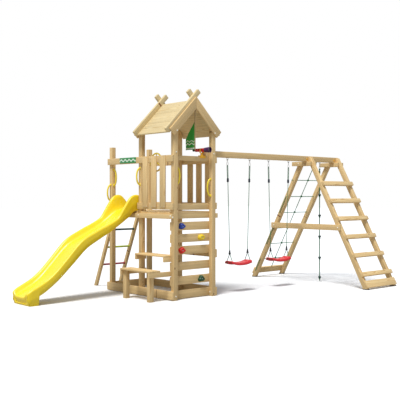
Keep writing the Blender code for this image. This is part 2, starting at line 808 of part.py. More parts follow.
def make_handles():
    places = (
        ("handle_front_near", (NEAR + POST, 0.0), HIGH_HANDLE_DROP, (1.0, 0.0, 0.0)),
        ("handle_front_far", (FAR - POST, 0.0), LOW_HANDLE_DROP, (-1.0, 0.0, 0.0)),
        ("handle_mid_near", (NEAR, BAY), HIGH_SIDE_HANDLE_DROP, (-1.0, 0.0, 0.0)),
        ("handle_end_near", (NEAR, 2 * BAY), END_HANDLE_DROP, (-1.0, 0.0, 0.0)),
        ("handle_end_inner", (0.0, END - POST), HIGH_HANDLE_DROP, (0.0, -1.0, 0.0)),
    )
    for name, spot, drop, out in places:
        foot = (*spot, TOP_RAIL_TOP - drop)
        part(name, "yellow_plastic", grab_handle(foot, out), smooth=True)


def make_steering_wheel():
    centre = Vector((NEAR + WHEEL_STANDOFF, WHEEL_Y, WHEEL_Z))
    along = Vector((1.0, 0.0, 0.0))
    hub_half = HUB_LENGTH / 2
    shaft_end = WHEEL_STANDOFF + hub_half + RUNNING_GAP
    profile = (
        (0.0, GAP), (HUB_RADIUS, GAP), (HUB_RADIUS, CAP_T), (AXLE_RADIUS, CAP_T),
        (AXLE_RADIUS, shaft_end), (CAP_RADIUS, shaft_end), (CAP_RADIUS, shaft_end + CAP_T),
        (0.0, shaft_end + CAP_T),
    )
    axle = turned(profile, (NEAR, WHEEL_Y, WHEEL_Z), along, 20)
    part("wheel_axle", "black_plastic", axle, smooth=True)

    bore = AXLE_RADIUS + RUNNING_GAP
    ring = ((HUB_RADIUS, hub_half), (HUB_RADIUS, -hub_half), (bore, -hub_half), (bore, hub_half))
    pieces = [turned(ring, centre, along, 20)]
    for index in range(WHEEL_SPOKES):
        angle = math.pi / 2 + index * 2 * math.pi / WHEEL_SPOKES
        out = Vector((0.0, math.cos(angle), math.sin(angle)))
        start = centre + out * (HUB_RADIUS + bore) / 2
        pieces.append(cylinder(start, centre + out * WHEEL_RADIUS, SPOKE_RADIUS, 10))
    rim = arc(
        centre, (0.0, WHEEL_RADIUS, 0.0), (0.0, 0.0, WHEEL_RADIUS), 0.0, 2 * math.pi, 32
    )
    pieces.append(tube(rim[:-1], WHEEL_RIM_RADIUS, closed=True))
    part("steering_wheel", "yellow_plastic", joined(pieces), pivot=centre, smooth=True)


def make_sign_and_flag():
    x = side_limits(-1, RAIL_T + GAP, SIGN_T)
    sign = box(x, SIGN_Y, (TOP_RAIL_TOP - SIGN_H, TOP_RAIL_TOP))
    part("sign_panel", "green_plastic", sign)

    y = FRONT + GAP + POLE_RADIUS
    top = RIDGE - ROOF_T / math.cos(ROOF_PITCH) - POLE_RADIUS - GAP
    bottom = TOP_RAIL_TOP + POLE_OVER_RAIL
    pole = cylinder((MIDDLE, y, bottom), (MIDDLE, y, top), POLE_RADIUS, 12)
    part("flag_pole", "green_plastic", pole, smooth=True)

    start = y + POLE_RADIUS + GAP
    end = start + FLAG_WIDTH
    bottom = TOP_RAIL_TOP + FLAG_OVER_RAIL
    tip = RIDGE - FLAG_TIP_DROP
    shoulder = bottom + (tip - bottom) * FLAG_SHOULDER_SHARE
    outline = ((start, bottom), (end, bottom), (end, shoulder), (start, tip))
    flag = bmesh.new()
    corners = [flag.verts.new((MIDDLE - FLAG_T / 2, y, z)) for y, z in outline]
    face = flag.faces.new(corners)
    swept = bmesh.ops.extrude_face_region(flag, geom=[face])
    moved = [item for item in swept["geom"] if isinstance(item, bmesh.types.BMVert)]
    bmesh.ops.translate(flag, verts=moved, vec=(FLAG_T, 0.0, 0.0))
    part("flag", "green_cloth", flag)


def make_telescope():
    """A saddle on the front rail, a yoke that turns on it and a tube that tilts in the yoke."""
    rail_middle = INNER + GAP + JOIST_T / 2
    pivot = Vector((SCOPE_X, rail_middle, SCOPE_PIVOT_Z))
    aim = Vector((math.sin(SCOPE_AIM), -math.cos(SCOPE_AIM), 0.0))
    across = Vector((math.cos(SCOPE_AIM), math.sin(SCOPE_AIM), 0.0))
    plate_top = TOP_RAIL_TOP + GAP + SCOPE_PLATE_T
    x = (SCOPE_X - SCOPE_BASE_W / 2, SCOPE_X + SCOPE_BASE_W / 2)
    y = (INNER - SCOPE_APRON_T, INNER)
    plate = box(x, (y[0], INNER + 2 * GAP + JOIST_T), (TOP_RAIL_TOP + GAP, plate_top))
    apron = box(x, y, (TOP_RAIL_TOP - SCOPE_APRON_DROP, plate_top - SCOPE_PLATE_T / 4))
    foot = Vector((SCOPE_X, rail_middle, plate_top - SCOPE_PLATE_T / 4))
    head = Vector((SCOPE_X, rail_middle, SCOPE_BASE_TOP))
    narrow = SCOPE_STAND_RADIUS - SCOPE_STAND_TAPER
    stand = cylinder(foot, head, SCOPE_STAND_RADIUS, 20, narrow)
    part("telescope_base", "orange_plastic", joined([plate, apron, stand]))

    arm_in = SCOPE_BODY_RADIUS + SCOPE_ARM_CLEAR
    arm_out = arm_in + SCOPE_ARM_T
    base_low = Vector((pivot.x, pivot.y, SCOPE_BASE_TOP + GAP))
    base_middle = base_low + Vector((0.0, 0.0, SCOPE_ARM_T / 2))
    half = across * (arm_out - JOINED)
    base_ends = (base_middle - half, base_middle + half)
    pieces = [timber(*base_ends, aim, SCOPE_ARM_W, SCOPE_ARM_T)]
    for hand in (-1, 1):
        head = pivot + across * hand * (arm_in + SCOPE_ARM_T / 2)
        foot = Vector((head.x, head.y, base_middle.z))
        head.z += SCOPE_ARM_RISE
        pieces.append(timber(foot, head, across, SCOPE_ARM_T, SCOPE_ARM_W - 2 * JOINED))
    reach = across * (arm_out + SCOPE_PIN_PAST)
    hole = cylinder(pivot - reach, pivot + reach, SCOPE_PIN_RADIUS + RUNNING_GAP, 16)
    yoke = combine(joined(pieces), hole, "DIFFERENCE")
    part("telescope_yoke", "orange_plastic", yoke, pivot=base_low)

    wall = SCOPE_WALL
    well = SCOPE_FRONT - SCOPE_MOUTH_DEPTH
    profile = (
        (0.0, -SCOPE_BACK), (SCOPE_EYE_RADIUS, -SCOPE_BACK), (SCOPE_EYE_RADIUS, -SCOPE_EYE_END),
        (SCOPE_BODY_RADIUS - wall, -SCOPE_EYE_END), (SCOPE_BODY_RADIUS, SCOPE_HOOD_START),
        (SCOPE_BODY_RADIUS + wall, SCOPE_HOOD_START), (SCOPE_MOUTH_RADIUS, SCOPE_FRONT),
        (SCOPE_MOUTH_RADIUS - wall, SCOPE_FRONT), (SCOPE_MOUTH_RADIUS - 2 * wall, well),
        (0.0, well),
    )
    barrel = turned(profile, pivot, aim, 24)
    pin = cylinder(pivot - reach, pivot + reach, SCOPE_PIN_RADIUS, 16)
    tube_and_pin = combine(barrel, pin, "UNION")
    part("telescope_tube", "red_plastic", tube_and_pin, pivot=pivot, smooth=True)


def hook_places():
    places = []
    for centre in SWING_XS:
        places += [centre - HOOK_HALF, centre + HOOK_HALF]
    return places + [KNOB_ROPE_X]


def beam_eye(x):
    """A steel staple under the beam; its level run is a hanger's hinge pin."""
    centre = Vector((x, BEAM_Y, HINGE_Z))
    plate_low = Vector((x, BEAM_Y, BEAM_Z - EYE_PLATE_T))
    plate_high = Vector((x, BEAM_Y, BEAM_Z + EYE_PLATE_T / 2))
    plate = cylinder(plate_low, plate_high, EYE_PLATE_RADIUS, 20)
    rise = Vector((0.0, 0.0, STAPLE_BEND))
    side = Vector((STAPLE_HALF, 0.0, 0.0))
    inward = Vector((STAPLE_BEND, 0.0, 0.0))
    top = Vector((0.0, 0.0, BEAM_Z - EYE_PLATE_T / 2 - HINGE_Z))
    left = arc(centre - side + inward + rise, -inward, -rise, 0.0, math.pi / 2, 3)
    right = arc(centre + side - inward + rise, -rise, inward, 0.0, math.pi / 2, 3)
    points = [centre - side + top] + left + right + [centre + side + top]
    return combine(plate, tube(points, HOOK_PIN_RADIUS), "UNION")


def make_beam():
    y = (BEAM_Y - BEAM / 2, BEAM_Y + BEAM / 2)
    pieces = [box((BEAM_START, BEAM_END), y, (BEAM_Z, BEAM_TOP))]
    for x in hook_places():
        pieces.append(beam_eye(x))
    part("swing_beam", "pine", joined(pieces))


def leg_line(hand, z):
    """Y of the outer edge of the stair legs (-1) or the net legs (+1)."""
    if hand < 0:
        return STAIR_LEAN * z - STAIR_REACH
    return NET_REACH - NET_LEAN * z


def leg_directions(hand):
    """Unit vectors up along a leg, and square to its outer face."""
    slope = STAIR_LEAN if hand < 0 else -NET_LEAN
    along = Vector((0.0, slope, 1.0)).normalized()
    outward = Vector((0.0, hand * along.z, -hand * along.y))
    return along, outward


def net_rows():
    return [NET_TOP_ROW - NET_ROW_PITCH * index for index in range(NET_ROWS)]


def net_place(x, z, lift=0.0):
    """A point in the middle plane of the net legs, or lifted outward from it."""
    along, outward = leg_directions(1)
    middle = leg_line(1, z) - LEG / 2 / along.z
    return Vector((x, middle, z)) + outward * lift


def frame_legs(hand, top, cuts):
    """The two legs of one side, cut level at the ground and at their top."""
    along, outward = leg_directions(hand)
    start = Vector((0.0, leg_line(hand, 0.0), 0.0)) - outward * LEG / 2 - along * LEG
    end = Vector((0.0, leg_line(hand, top), top)) - outward * LEG / 2 + along * LEG
    level = [((0.0, 0.0, 0.0), (0.0, 0.0, -1.0)), ((0.0, 0.0, top), (0.0, 0.0, 1.0))]
    legs = []
    for left in FRAME_X:
        place = Vector((left + LEG / 2, 0.0, 0.0))
        leg = timber(start + place, end + place, (1.0, 0.0, 0.0), LEG, LEG, level + cuts)
        legs.append(leg)
    return legs


def cross_board(hand, height, width, thickness):
    """A board across the pair of legs, flat on their outer faces."""
    along, outward = leg_directions(hand)
    middle = Vector((0.0, leg_line(hand, height), height)) + outward * (thickness / 2 - JOINED)
    start = middle + Vector((FRAME_X[0], 0.0, 0.0))
    end = middle + Vector((FRAME_X[1] + LEG, 0.0, 0.0))
    return timber(start, end, along, width, thickness)


def make_stair():
    """Two legs, the treads across their front faces and a board at their foot."""
    along = leg_directions(-1)[0]
    plumb = [((0.0, BEAM_Y - BEAM / 2 - GAP, 0.0), (0.0, 1.0, 0.0))]
    left, right = frame_legs(-1, STAIR_LEG_TOP, plumb)
    pieces = [left, cross_board(-1, STAIR_BOARD_Z + BOARD_W / 2 * along.z, BOARD_W, BOARD_T), right]
    for index in range(TREADS):
        height = TREAD_FIRST + TREAD_RISE * index
        pieces.append(cross_board(-1, height, JOIST_W, JOIST_T))
    part("stair", "pine", joined(pieces))


def make_net_frame():
    """Two legs with a foot board, and the braces bolted beside both leg pairs."""
    along = leg_directions(1)[0]
    left, right = frame_legs(1, BEAM_Z - GAP, [])
    board = cross_board(1, NET_BOARD_Z + BOARD_W / 2 * along.z, BOARD_W, BOARD_T)
    frame = joined([left, board, right])
    for z in net_rows():
        first = net_place(FRAME_X[0] - LEG / 4, z)
        last = net_place(FRAME_X[1] + LEG * 1.25, z)
        hole = cylinder(first, last, NET_ROPE_RADIUS + 2 * RUNNING_GAP, 10)
        frame = combine(frame, hole, "DIFFERENCE")
    pieces = [frame]
    z = (BEAM_Z - GAP - JOIST_W, BEAM_Z - GAP)
    middle_z = sum(z) / 2
    y = leg_line(1, middle_z) - LEG / 2 / along.z
    for x in FRAME_X:
        outer = (x - GAP - JOIST_T, x + LEG + GAP + JOIST_T)
        first = (outer[0] + JOINED, y, middle_z)
        last = (outer[1] - JOINED, y, middle_z)
        pieces.append(cylinder(first, last, BOLT_RADIUS, 10))
        pieces.append(box((outer[0], x - GAP), (-COLLAR_STAIR_END, COLLAR_NET_END), z))
        pieces.append(box((x + LEG + GAP, outer[1]), (-COLLAR_STAIR_END, COLLAR_NET_END), z))
    middle_z = BRACE_Z + RAIL_W / 2
    y = leg_line(1, middle_z) - LEG / 2 / along.z
    x = (FRAME_X[0] - GAP - BOARD_T, FRAME_X[0] - GAP)
    first = (x[0] + JOINED, y, middle_z)
    last = (FRAME_X[0] + LEG / 2, y, middle_z)
    pieces.append(cylinder(first, last, BOLT_RADIUS, 10))
    pieces.append(box(x, (-BRACE_STAIR_END, BRACE_NET_END), (BRACE_Z, BRACE_Z + RAIL_W)))
    part("net_frame", "pine", joined(pieces))


def make_net():
    """One rope in rows through the legs, and one down the middle over its outer side."""
    radius = NET_ROPE_RADIUS
    rows = net_rows()
    turn = radius * 1.6
    left = FRAME_X[0] - radius / 2 - turn
    right = FRAME_X[1] + LEG + radius / 2 + turn
    points = [net_place(left - NET_ROPE_TAIL, rows[0])]
    for index, z in enumerate(rows):
        to_right = index % 2 == 0
        first, last = (left, right) if to_right else (right, left)
        inward = turn if to_right else -turn
        if index:
            points.append(net_place(first, z + turn))
            points.append(net_place(first + inward, z))
        points.append(net_place(last - inward, z))
        if index < NET_ROWS - 1:
            points.append(net_place(last, z - turn))
    points.append(net_place(left, rows[-1] - turn))
    points.append(net_place(left, NET_BOARD_Z + BOARD_W / 2))
    zigzag = tube(points, radius)
    middle = (FRAME_X[0] + FRAME_X[1] + LEG) / 2
    lift = 2 * radius - JOINED * 10
    board_top = NET_BOARD_Z + BOARD_W * leg_directions(1)[0].z
    beam_side = BEAM_Y + BEAM / 2 + GAP
    head = Vector((middle, beam_side, BEAM_Z + BEAM / 2))
    points = [
        head,
        head + Vector((0.0, NET_ROPE_HEAD, 0.0)),
        net_place(middle, NET_TOP_ROW + NET_ROPE_BEND, lift),
        net_place(middle, NET_TOP_ROW, lift),
        net_place(middle, board_top + 0.004, lift),
    ]
    part("net_rope", "green_rope", joined([zigzag, tube(points, radius)]), smooth=True)


def hanger(x):
    """A swivel that turns on the staple's pin, with a ring for the rope."""
    centre = Vector((x, BEAM_Y, HINGE_Z))
    bore = HOOK_PIN_RADIUS + RUNNING_GAP
    half = SWIVEL_LENGTH / 2
    outer = SWIVEL_RADIUS
    ring_centre = centre - Vector((0.0, 0.0, RING_DROP))
    profile = ((outer, half), (outer, -half), (bore, -half), (bore, half))
    barrel = turned(profile, centre, (1.0, 0.0, 0.0), 20)
    stem_top = centre - Vector((0.0, 0.0, (outer + bore) / 2))
    stem_bottom = ring_centre + Vector((0.0, 0.0, RING_RADIUS))
    stem = cylinder(stem_top, stem_bottom, RING_WIRE * 1.25, 10)
    points = arc(
        ring_centre, (RING_RADIUS, 0.0, 0.0), (0.0, 0.0, RING_RADIUS), 0.0, 2 * math.pi, 16
    )
    ring = tube(points[:-1], RING_WIRE, closed=True)
    return joined([barrel, stem, ring]), ring_centre - Vector((0.0, 0.0, RING_RADIUS))


def seat_height(offset):
    """Height of the seat's top at a distance from its middle along X."""
    share = abs(offset) / (SEAT_LENGTH / 2)
    return SEAT_Z + SEAT_RISE * share ** 2.4


def swing_rope(centre_x, hand):
    """A hanger, its doubled rope, the adjuster, the single rope, the cone and its two ends."""
    hook_x = centre_x + hand * HOOK_HALF
    low_x = centre_x + hand * ROPE_HALF
    made, bar = hanger(hook_x)
    drop = Vector((low_x - hook_x, 0.0, CONE_TOP - bar.z))

    def place(z):
        return bar + drop * ((z - bar.z) / drop.z)

    loop = RING_WIRE + SWING_ROPE_RADIUS - JOINED * 5
    middle = place(ADJUSTER_Z)
    side = Vector((0.0, loop, 0.0))
    bow = arc(bar, (0.0, -loop, 0.0), (0.0, 0.0, loop), 0.0, math.pi, 8)
    pieces = [made, tube([middle - side] + bow + [middle + side], SWING_ROPE_RADIUS)]
    x = (middle.x - ADJUSTER_X / 2, middle.x + ADJUSTER_X / 2)
    y = (BEAM_Y - ADJUSTER_Y / 2, BEAM_Y + ADJUSTER_Y / 2)
    z = (ADJUSTER_Z - ADJUSTER_H / 2, ADJUSTER_Z + ADJUSTER_H / 2)
    pieces.append(box(x, y, z))
    cone_top = place(CONE_TOP)
    cone_bottom = Vector((cone_top.x, BEAM_Y, CONE_BOTTOM))
    rope = [place(ADJUSTER_Z - ADJUSTER_H / 4), place(CONE_TOP - CONE_RADIUS / 2)]
    pieces.append(tube(rope, SWING_ROPE_RADIUS))
    pieces.append(cylinder(cone_bottom, cone_top, CONE_RADIUS, 14, CONE_RADIUS / 2))
    for split in (-1, 1):
        start = cone_bottom + Vector((0.0, split * SWING_ROPE_RADIUS * 1.6, 0.006))
        seat_edge = seat_height(ROPE_HALF + SWING_ROPE_RADIUS)
        end = Vector((low_x, BEAM_Y + split * ROPE_SPLIT, seat_edge + GAP))
        drop_end = Vector((0.0, 0.0, SWING_ROPE_RADIUS * 2))
        points = [start, start - drop_end * 1.4, end + drop_end, end]
        pieces.append(tube(points, SWING_ROPE_RADIUS))
    return joined(pieces)


def swing_seat(centre_x):
    """A bent plastic board, raised at both ends, with its long edges turned down."""
    half = SEAT_WIDTH / 2
    top = half - SEAT_FLANGE_SPLAY
    left = [(-half, SEAT_FLANGE), (-top, SEAT_ROUND), (SEAT_ROUND - top, 0.0)]
    across = left + [(-y, dip) for y, dip in reversed(left)]
    surface = bmesh.new()
    rows = []
    for step in range(SEAT_STEPS + 1):
        offset = SEAT_LENGTH * (step / SEAT_STEPS - 0.5)
        z = seat_height(offset)
        places = [(centre_x + offset, BEAM_Y + y, z - dip) for y, dip in across]
        rows.append([surface.verts.new(place) for place in places])
    for low, high in zip(rows, rows[1:]):
        for column in range(len(low) - 1):
            surface.faces.new((low[column], high[column], high[column + 1], low[column + 1]))
    maker = as_object(surface)
    solidify = maker.modifiers.new("thickness", "SOLIDIFY")
    solidify.thickness = SEAT_T
    solidify.offset = -1.0
    return taken_from(maker)


def make_swing(number, centre_x):
    pivot = Vector((centre_x, BEAM_Y, HINGE_Z))
    name = "swing_" + str(number)
    for hand, word in ((-1, "_rope_left"), (1, "_rope_right")):
        part(name + word, "green_rope", swing_rope(centre_x, hand), pivot=pivot, smooth=True)
    part(name + "_seat", "red_plastic", swing_seat(centre_x), pivot=pivot, smooth=True)


def make_knob_rope():
    """A rope on its own hanger, with round knobs to stand on."""
    pivot = Vector((KNOB_ROPE_X, BEAM_Y, HINGE_Z))
    made, bar = hanger(KNOB_ROPE_X)
    foot = (pivot.x, pivot.y, KNOB_ROPE_END)
    pieces = [made, cylinder(foot, (pivot.x, pivot.y, bar.z), KNOB_ROPE_RADIUS, 10)]
    edge = KNOB_T / 2
    profile = (
        (0.0, -edge), (KNOB_RADIUS * 0.7, -edge), (KNOB_RADIUS, -edge * 0.4),
        (KNOB_RADIUS, edge * 0.4), (KNOB_RADIUS * 0.7, edge), (0.0, edge),
    )
    for z in KNOB_HEIGHTS:
        pieces.append(turned(profile, (pivot.x, pivot.y, z), (0.0, 0.0, 1.0), 16))
    part("knob_rope", "green_rope", joined(pieces), pivot=pivot, smooth=True)


clear_scene()
TOWER = make_collection("play_tower")
CUTTERS = make_collection("cutters")
make_posts()
make_balustrades()
make_front_rails()
make_side_boards()
make_deck()
make_climbing_wall()
make_roof()
make_bench_and_table()
make_slide()
make_ladder()
make_handles()
make_steering_wheel()
make_sign_and_flag()
make_telescope()
make_beam()
make_stair()
make_net_frame()
make_net()
for swing_number, middle_x in enumerate(SWING_XS, start=1):
    make_swing(swing_number, middle_x)
make_knob_rope()
print(len(TOWER.objects), "parts")
print(sum(len(made.data.loop_triangles) for made in TOWER.objects), "triangles")
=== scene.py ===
import math

import bmesh
import bpy
import numpy as np
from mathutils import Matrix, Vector


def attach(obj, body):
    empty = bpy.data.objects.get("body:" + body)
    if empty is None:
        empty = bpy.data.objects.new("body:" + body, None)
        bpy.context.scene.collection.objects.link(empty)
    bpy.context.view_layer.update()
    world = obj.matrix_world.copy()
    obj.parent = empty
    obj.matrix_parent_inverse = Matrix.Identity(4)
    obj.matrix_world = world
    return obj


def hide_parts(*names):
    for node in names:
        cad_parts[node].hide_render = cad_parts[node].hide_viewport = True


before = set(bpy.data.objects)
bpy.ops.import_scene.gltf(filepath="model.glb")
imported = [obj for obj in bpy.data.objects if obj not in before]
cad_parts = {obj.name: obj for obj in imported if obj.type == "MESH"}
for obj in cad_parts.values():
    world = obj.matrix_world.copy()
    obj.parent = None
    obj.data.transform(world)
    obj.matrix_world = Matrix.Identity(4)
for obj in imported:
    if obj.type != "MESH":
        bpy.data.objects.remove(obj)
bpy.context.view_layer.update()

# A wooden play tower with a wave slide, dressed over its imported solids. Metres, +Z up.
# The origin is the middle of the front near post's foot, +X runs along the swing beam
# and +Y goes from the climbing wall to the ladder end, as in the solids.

CHANCE = np.random.default_rng(11)
FULL_TURN = 2 * math.pi
SIDES = ((-1, "near"), (1, "far"))
X_AXIS, Z_AXIS = (1, 0, 0), (0, 0, 1)

# Timber sections, and the gap that is left where two pieces meet
POST, LEG, BEAM, GAP = 0.070, 0.070, 0.090, 0.0003
BOARD_W, BOARD_T, RAIL_W, SLAT_T = 0.120, 0.028, 0.095, 0.018
JOIST_W, JOIST_T = 0.070, 0.045

# The tower's grid: posts a span apart across and a bay apart along
SPAN, BAY, MIDDLE = 0.727, 0.7625, 0.3635
NEAR, FAR, FRONT, INNER = -POST / 2, SPAN + POST / 2, -POST / 2, POST / 2
BACK, END = BAY + POST / 2, 2 * BAY + POST / 2
END_FACE = END + GAP
WALL_Y = (INNER + GAP, INNER + GAP + BOARD_T)
JOIST_Y = (INNER + GAP, INNER + GAP + JOIST_T)

# Heights and places of the boards
LOW_POST_H, TOP_RAIL_TOP, LOW_RAIL_TOP, DECK_TOP = 2.238, 2.060, 1.380, 1.253
DECK_BOTTOM, UNDER_GAP = DECK_TOP - BOARD_T, 0.0002
SLAT_BOTTOM, SLAT_PITCH, FAR_SLATS = 1.315, 0.203, (0.058, 0.398)
BASE_BOARD_Z, SIDE_BOARD_Z, KICK_BOARD_Z = (0.010, 0.130), (0.570, 0.690), (1.2785, 1.3735)
PLANKS = (0.008, 0.209, 0.414, 0.641, 0.814, 0.987)
BENCH_TOP, BENCH_T, TABLE_TOP, TABLE_T = 0.436, 0.025, 0.638, 0.022

# The roof, whose runs are measured down a slope from the ridge
RIDGE, ROOF_PITCH, ROOF_T, ROOF_RUN = 2.8735, math.radians(45), 0.020, 0.691
GABLE_RUN, GABLE_LIFT, GABLE_CAP_Z = 0.664, 0.028, 2.404
BAR_RUN, BAR_PAST = 0.705, 0.150

# The ladder, whose lean is metres along for each metre up
LADDER_LEAN, LADDER_FOOT, STILE_W, STILE_T, STILE_IN = 0.440, 0.590, 0.055, 0.045, 0.100
RUNG_HEIGHTS, RUNG_RADIUS = (0.355, 0.645, 0.935), 0.016

# The beam and the frame that carries its far end
BEAM_Y, BEAM_Z, HINGE_Z, RING_DROP = 0.0803, 2.0603, 2.0303, 0.091
BEAM_START, BEAM_END, FRAME_X = 0.625, 3.780, (2.970, 3.707)
STAIR_LEAN, STAIR_REACH, NET_LEAN, NET_REACH = 0.540, 1.155, 0.550, 1.374
BRACE_Z, COLLAR_Y, COLLAR_CAP_Z = (0.915, 1.010), (-0.045, 0.365), 2.025
NET_ROWS = tuple(1.750 - 0.283 * row for row in range(6))
NET_MIDDLE, NET_BOARD_Z = (FRAME_X[0] + FRAME_X[1] + LEG) / 2, 0.060

# The swings and the rope with discs
SWING_XS, HOOK_HALF, ROPE_HALF, KNOB_ROPE_X = (1.356, 2.2715), 0.241, 0.194, 3.323
KNOB_HEIGHTS, KNOB_ROPE_END = (1.494, 1.139, 0.776, 0.412, 0.075), 0.014
KNOB_ROPE_RADIUS, SWING_ROPE_RADIUS, NET_ROPE_RADIUS = 0.008, 0.005, 0.006
SEAT_Z, SEAT_LENGTH, SEAT_WIDTH, SEAT_RISE = 0.450, 0.430, 0.170, 0.035

# The slide, whose reach is measured out from the posts
SLIDE_Y, SLIDE_REACH, SLIDE_START, SLIDE_FOOT_BACK = 1.070, 1.815, -0.150, 0.050

# The panel and the flag
SIGN_Y, SIGN_H, SIGN_T = (0.825, 1.237), 0.085, 0.008
SIGN_MIDDLE_Z = TOP_RAIL_TOP - SIGN_H / 2
FLAG_W, FLAG_BOTTOM, FLAG_TIP, FLAG_SHOULDER = 0.203, 2.150, 2.560, 0.39
STAFF_RADIUS, STAFF_BOTTOM = 0.008, 2.1475


def linear(code):
    """The linear colour, with alpha, of an sRGB hex code."""
    parts = [int(code[place:place + 2], 16) / 255 for place in (1, 3, 5)]
    spread = [c / 12.92 if c <= 0.04045 else ((c + 0.055) / 1.055) ** 2.4 for c in parts]
    return (*spread, 1.0)


def add(tree, kind, inputs=(), out=0, stops=(), **settings):
    """Adds a shader node with its settings, ramp stops and inputs, and gives one output.

    The inputs are values or links, named in a dictionary or listed in the sockets' order.
    """
    made = tree.nodes.new("ShaderNode" + kind)
    for name, value in settings.items():
        setattr(made, name, value)
    while stops and len(made.color_ramp.elements) < len(stops):
        made.color_ramp.elements.new(1.0)
    for number, (place, code) in enumerate(stops):
        made.color_ramp.elements[number].position = place
        made.color_ramp.elements[number].color = linear(code)
    for name, value in inputs.items() if isinstance(inputs, dict) else enumerate(inputs):
        if isinstance(value, bpy.types.NodeSocket):
            tree.links.new(value, made.inputs[name])
        else:
            made.inputs[name].default_value = value
    return made.outputs[out]


def feed(shader, **links):
    """Links sockets to a shader's inputs. An underscore stands for a space."""
    for name, socket in links.items():
        shader.id_data.links.new(socket, shader.inputs[name.replace("_", " ")])


def new_material(name, **fixed):
    """An empty material with its surface shader, whose fixed values sit on its sockets."""
    material = bpy.data.materials.new(name)
    material.use_nodes = True
    shader = material.node_tree.nodes["Principled BSDF"]
    for socket, value in fixed.items():
        shader.inputs[socket.replace("_", " ")].default_value = value
    return material, material.node_tree, shader


def point_camera():
    """The photograph's view: level, from 1.5 m up, with the horizon just above the middle."""
    lens = bpy.data.cameras.new("photo_view")
    lens.sensor_width = 36.0
    lens.lens = 64.47
    lens.shift_y = -0.0124
    lens.dof.use_dof = False
    viewer = bpy.data.objects.new("photo_view", lens)
    turn = math.radians(48.388)
    along = Vector((math.cos(turn), math.sin(turn), 0.0))
    viewer.location = (-6.458, -7.815, 1.493)
    viewer.rotation_euler = along.to_track_quat("-Z", "Y").to_euler()
    bpy.context.scene.collection.objects.link(viewer)
    bpy.context.scene.camera = viewer


def planed_pine(name, early, late, knot):
    """Planed softwood: pale early wood, brown late rings and a few small knots.

    It gives soft streaks along each board, a matt face and arcs of rings on the end grain.
    """
    material, tree, shader = new_material(name, Roughness=0.62, IOR=1.45)
    place = add(tree, "Attribute", out="Vector", attribute_name="grain")
    tone = add(tree, "Attribute", out="Fac", attribute_name="tone")
    x, y, z = add(tree, "SeparateXYZ", [place]).node.outputs
    # A branch every 0.3 m or so, drawn as an oval of up to 37 by 20 mm
    flat = add(tree, "CombineXYZ", {"X": x, "Y": y})
    sown = add(tree, "Mapping", {"Vector": flat, "Scale": (3.3, 6.2, 1.0)})
    cells = add(tree, "TexVoronoi", {"Vector": sown, "Scale": 1.0}, voronoi_dimensions="2D")
    lot = add(tree, "SeparateColor", [cells.node.outputs["Color"]])
    size = add(tree, "MapRange", {"Value": lot, "From Min": 0.42, "From Max": 1.0,
                                  "To Min": 0.0001, "To Max": 0.062})
    share = add(tree, "Math", [cells, size], operation="DIVIDE")
    dark = add(tree, "MapRange", {"Value": share, "From Min": 0.75, "From Max": 1.15,
                                  "To Min": 1.0, "To Max": 0.0})
    sway = add(tree, "MapRange", {"Value": share, "From Min": 0.8, "From Max": 3.4,
                                  "To Min": 0.010, "To Max": 0.0},
               interpolation_type="SMOOTHSTEP")
    # Rings 7 mm apart round a pith outside the board, bent by slow waves and by the knots
    slow = add(tree, "Mapping", {"Vector": place, "Scale": (1.1, 6.0, 6.0)})
    bend = add(tree, "TexNoise", {"Vector": slow, "Scale": 1.0, "Detail": 2.0})
    ring_plane = add(tree, "CombineXYZ", {"Y": y, "Z": z})
    radius = add(tree, "VectorMath", [ring_plane], out="Value", operation="LENGTH")
    waved = add(tree, "Math", [bend, 0.055, radius], operation="MULTIPLY_ADD")
    moved = add(tree, "Math", [waved, sway], operation="ADD")
    rings = add(tree, "Math", [moved, 145.0], operation="MULTIPLY")
    ring = add(tree, "Math", [rings], operation="FRACT")
    wood = add(tree, "ValToRGB", [ring],
               stops=((0.0, early), (0.55, early), (0.90, late), (1.0, early)))
    # Broad lighter and darker streaks, some 15 mm wide and half a metre long
    wide = add(tree, "Mapping", {"Vector": place, "Scale": (2.0, 60.0, 60.0)})
    streak = add(tree, "TexNoise", {"Vector": wide, "Scale": 1.0, "Detail": 3.0})
    shade = add(tree, "MapRange", {"Value": streak, "From Min": 0.3, "From Max": 0.7,
                                   "To Min": 0.84, "To Max": 1.07})
    toned = add(tree, "Math", [shade, tone], operation="MULTIPLY")
    dimmed = add(tree, "VectorMath", {0: wood, "Scale": toned}, operation="SCALE")
    knotted = add(tree, "Mix", {"Factor": dark, "A": dimmed, "B": linear(knot)}, "Result",
                  data_type="RGBA")
    # Fibres half a millimetre apart, drawn at 2 mm so that they show
    fine = add(tree, "Mapping", {"Vector": place, "Scale": (14.0, 520.0, 520.0)})
    fibre = add(tree, "TexNoise", {"Vector": fine, "Scale": 1.0, "Detail": 2.0})
    bump = add(tree, "Bump", {"Height": fibre, "Strength": 0.35, "Distance": 0.0006})
    feed(shader, Base_Color=knotted, Normal=bump)
    return material


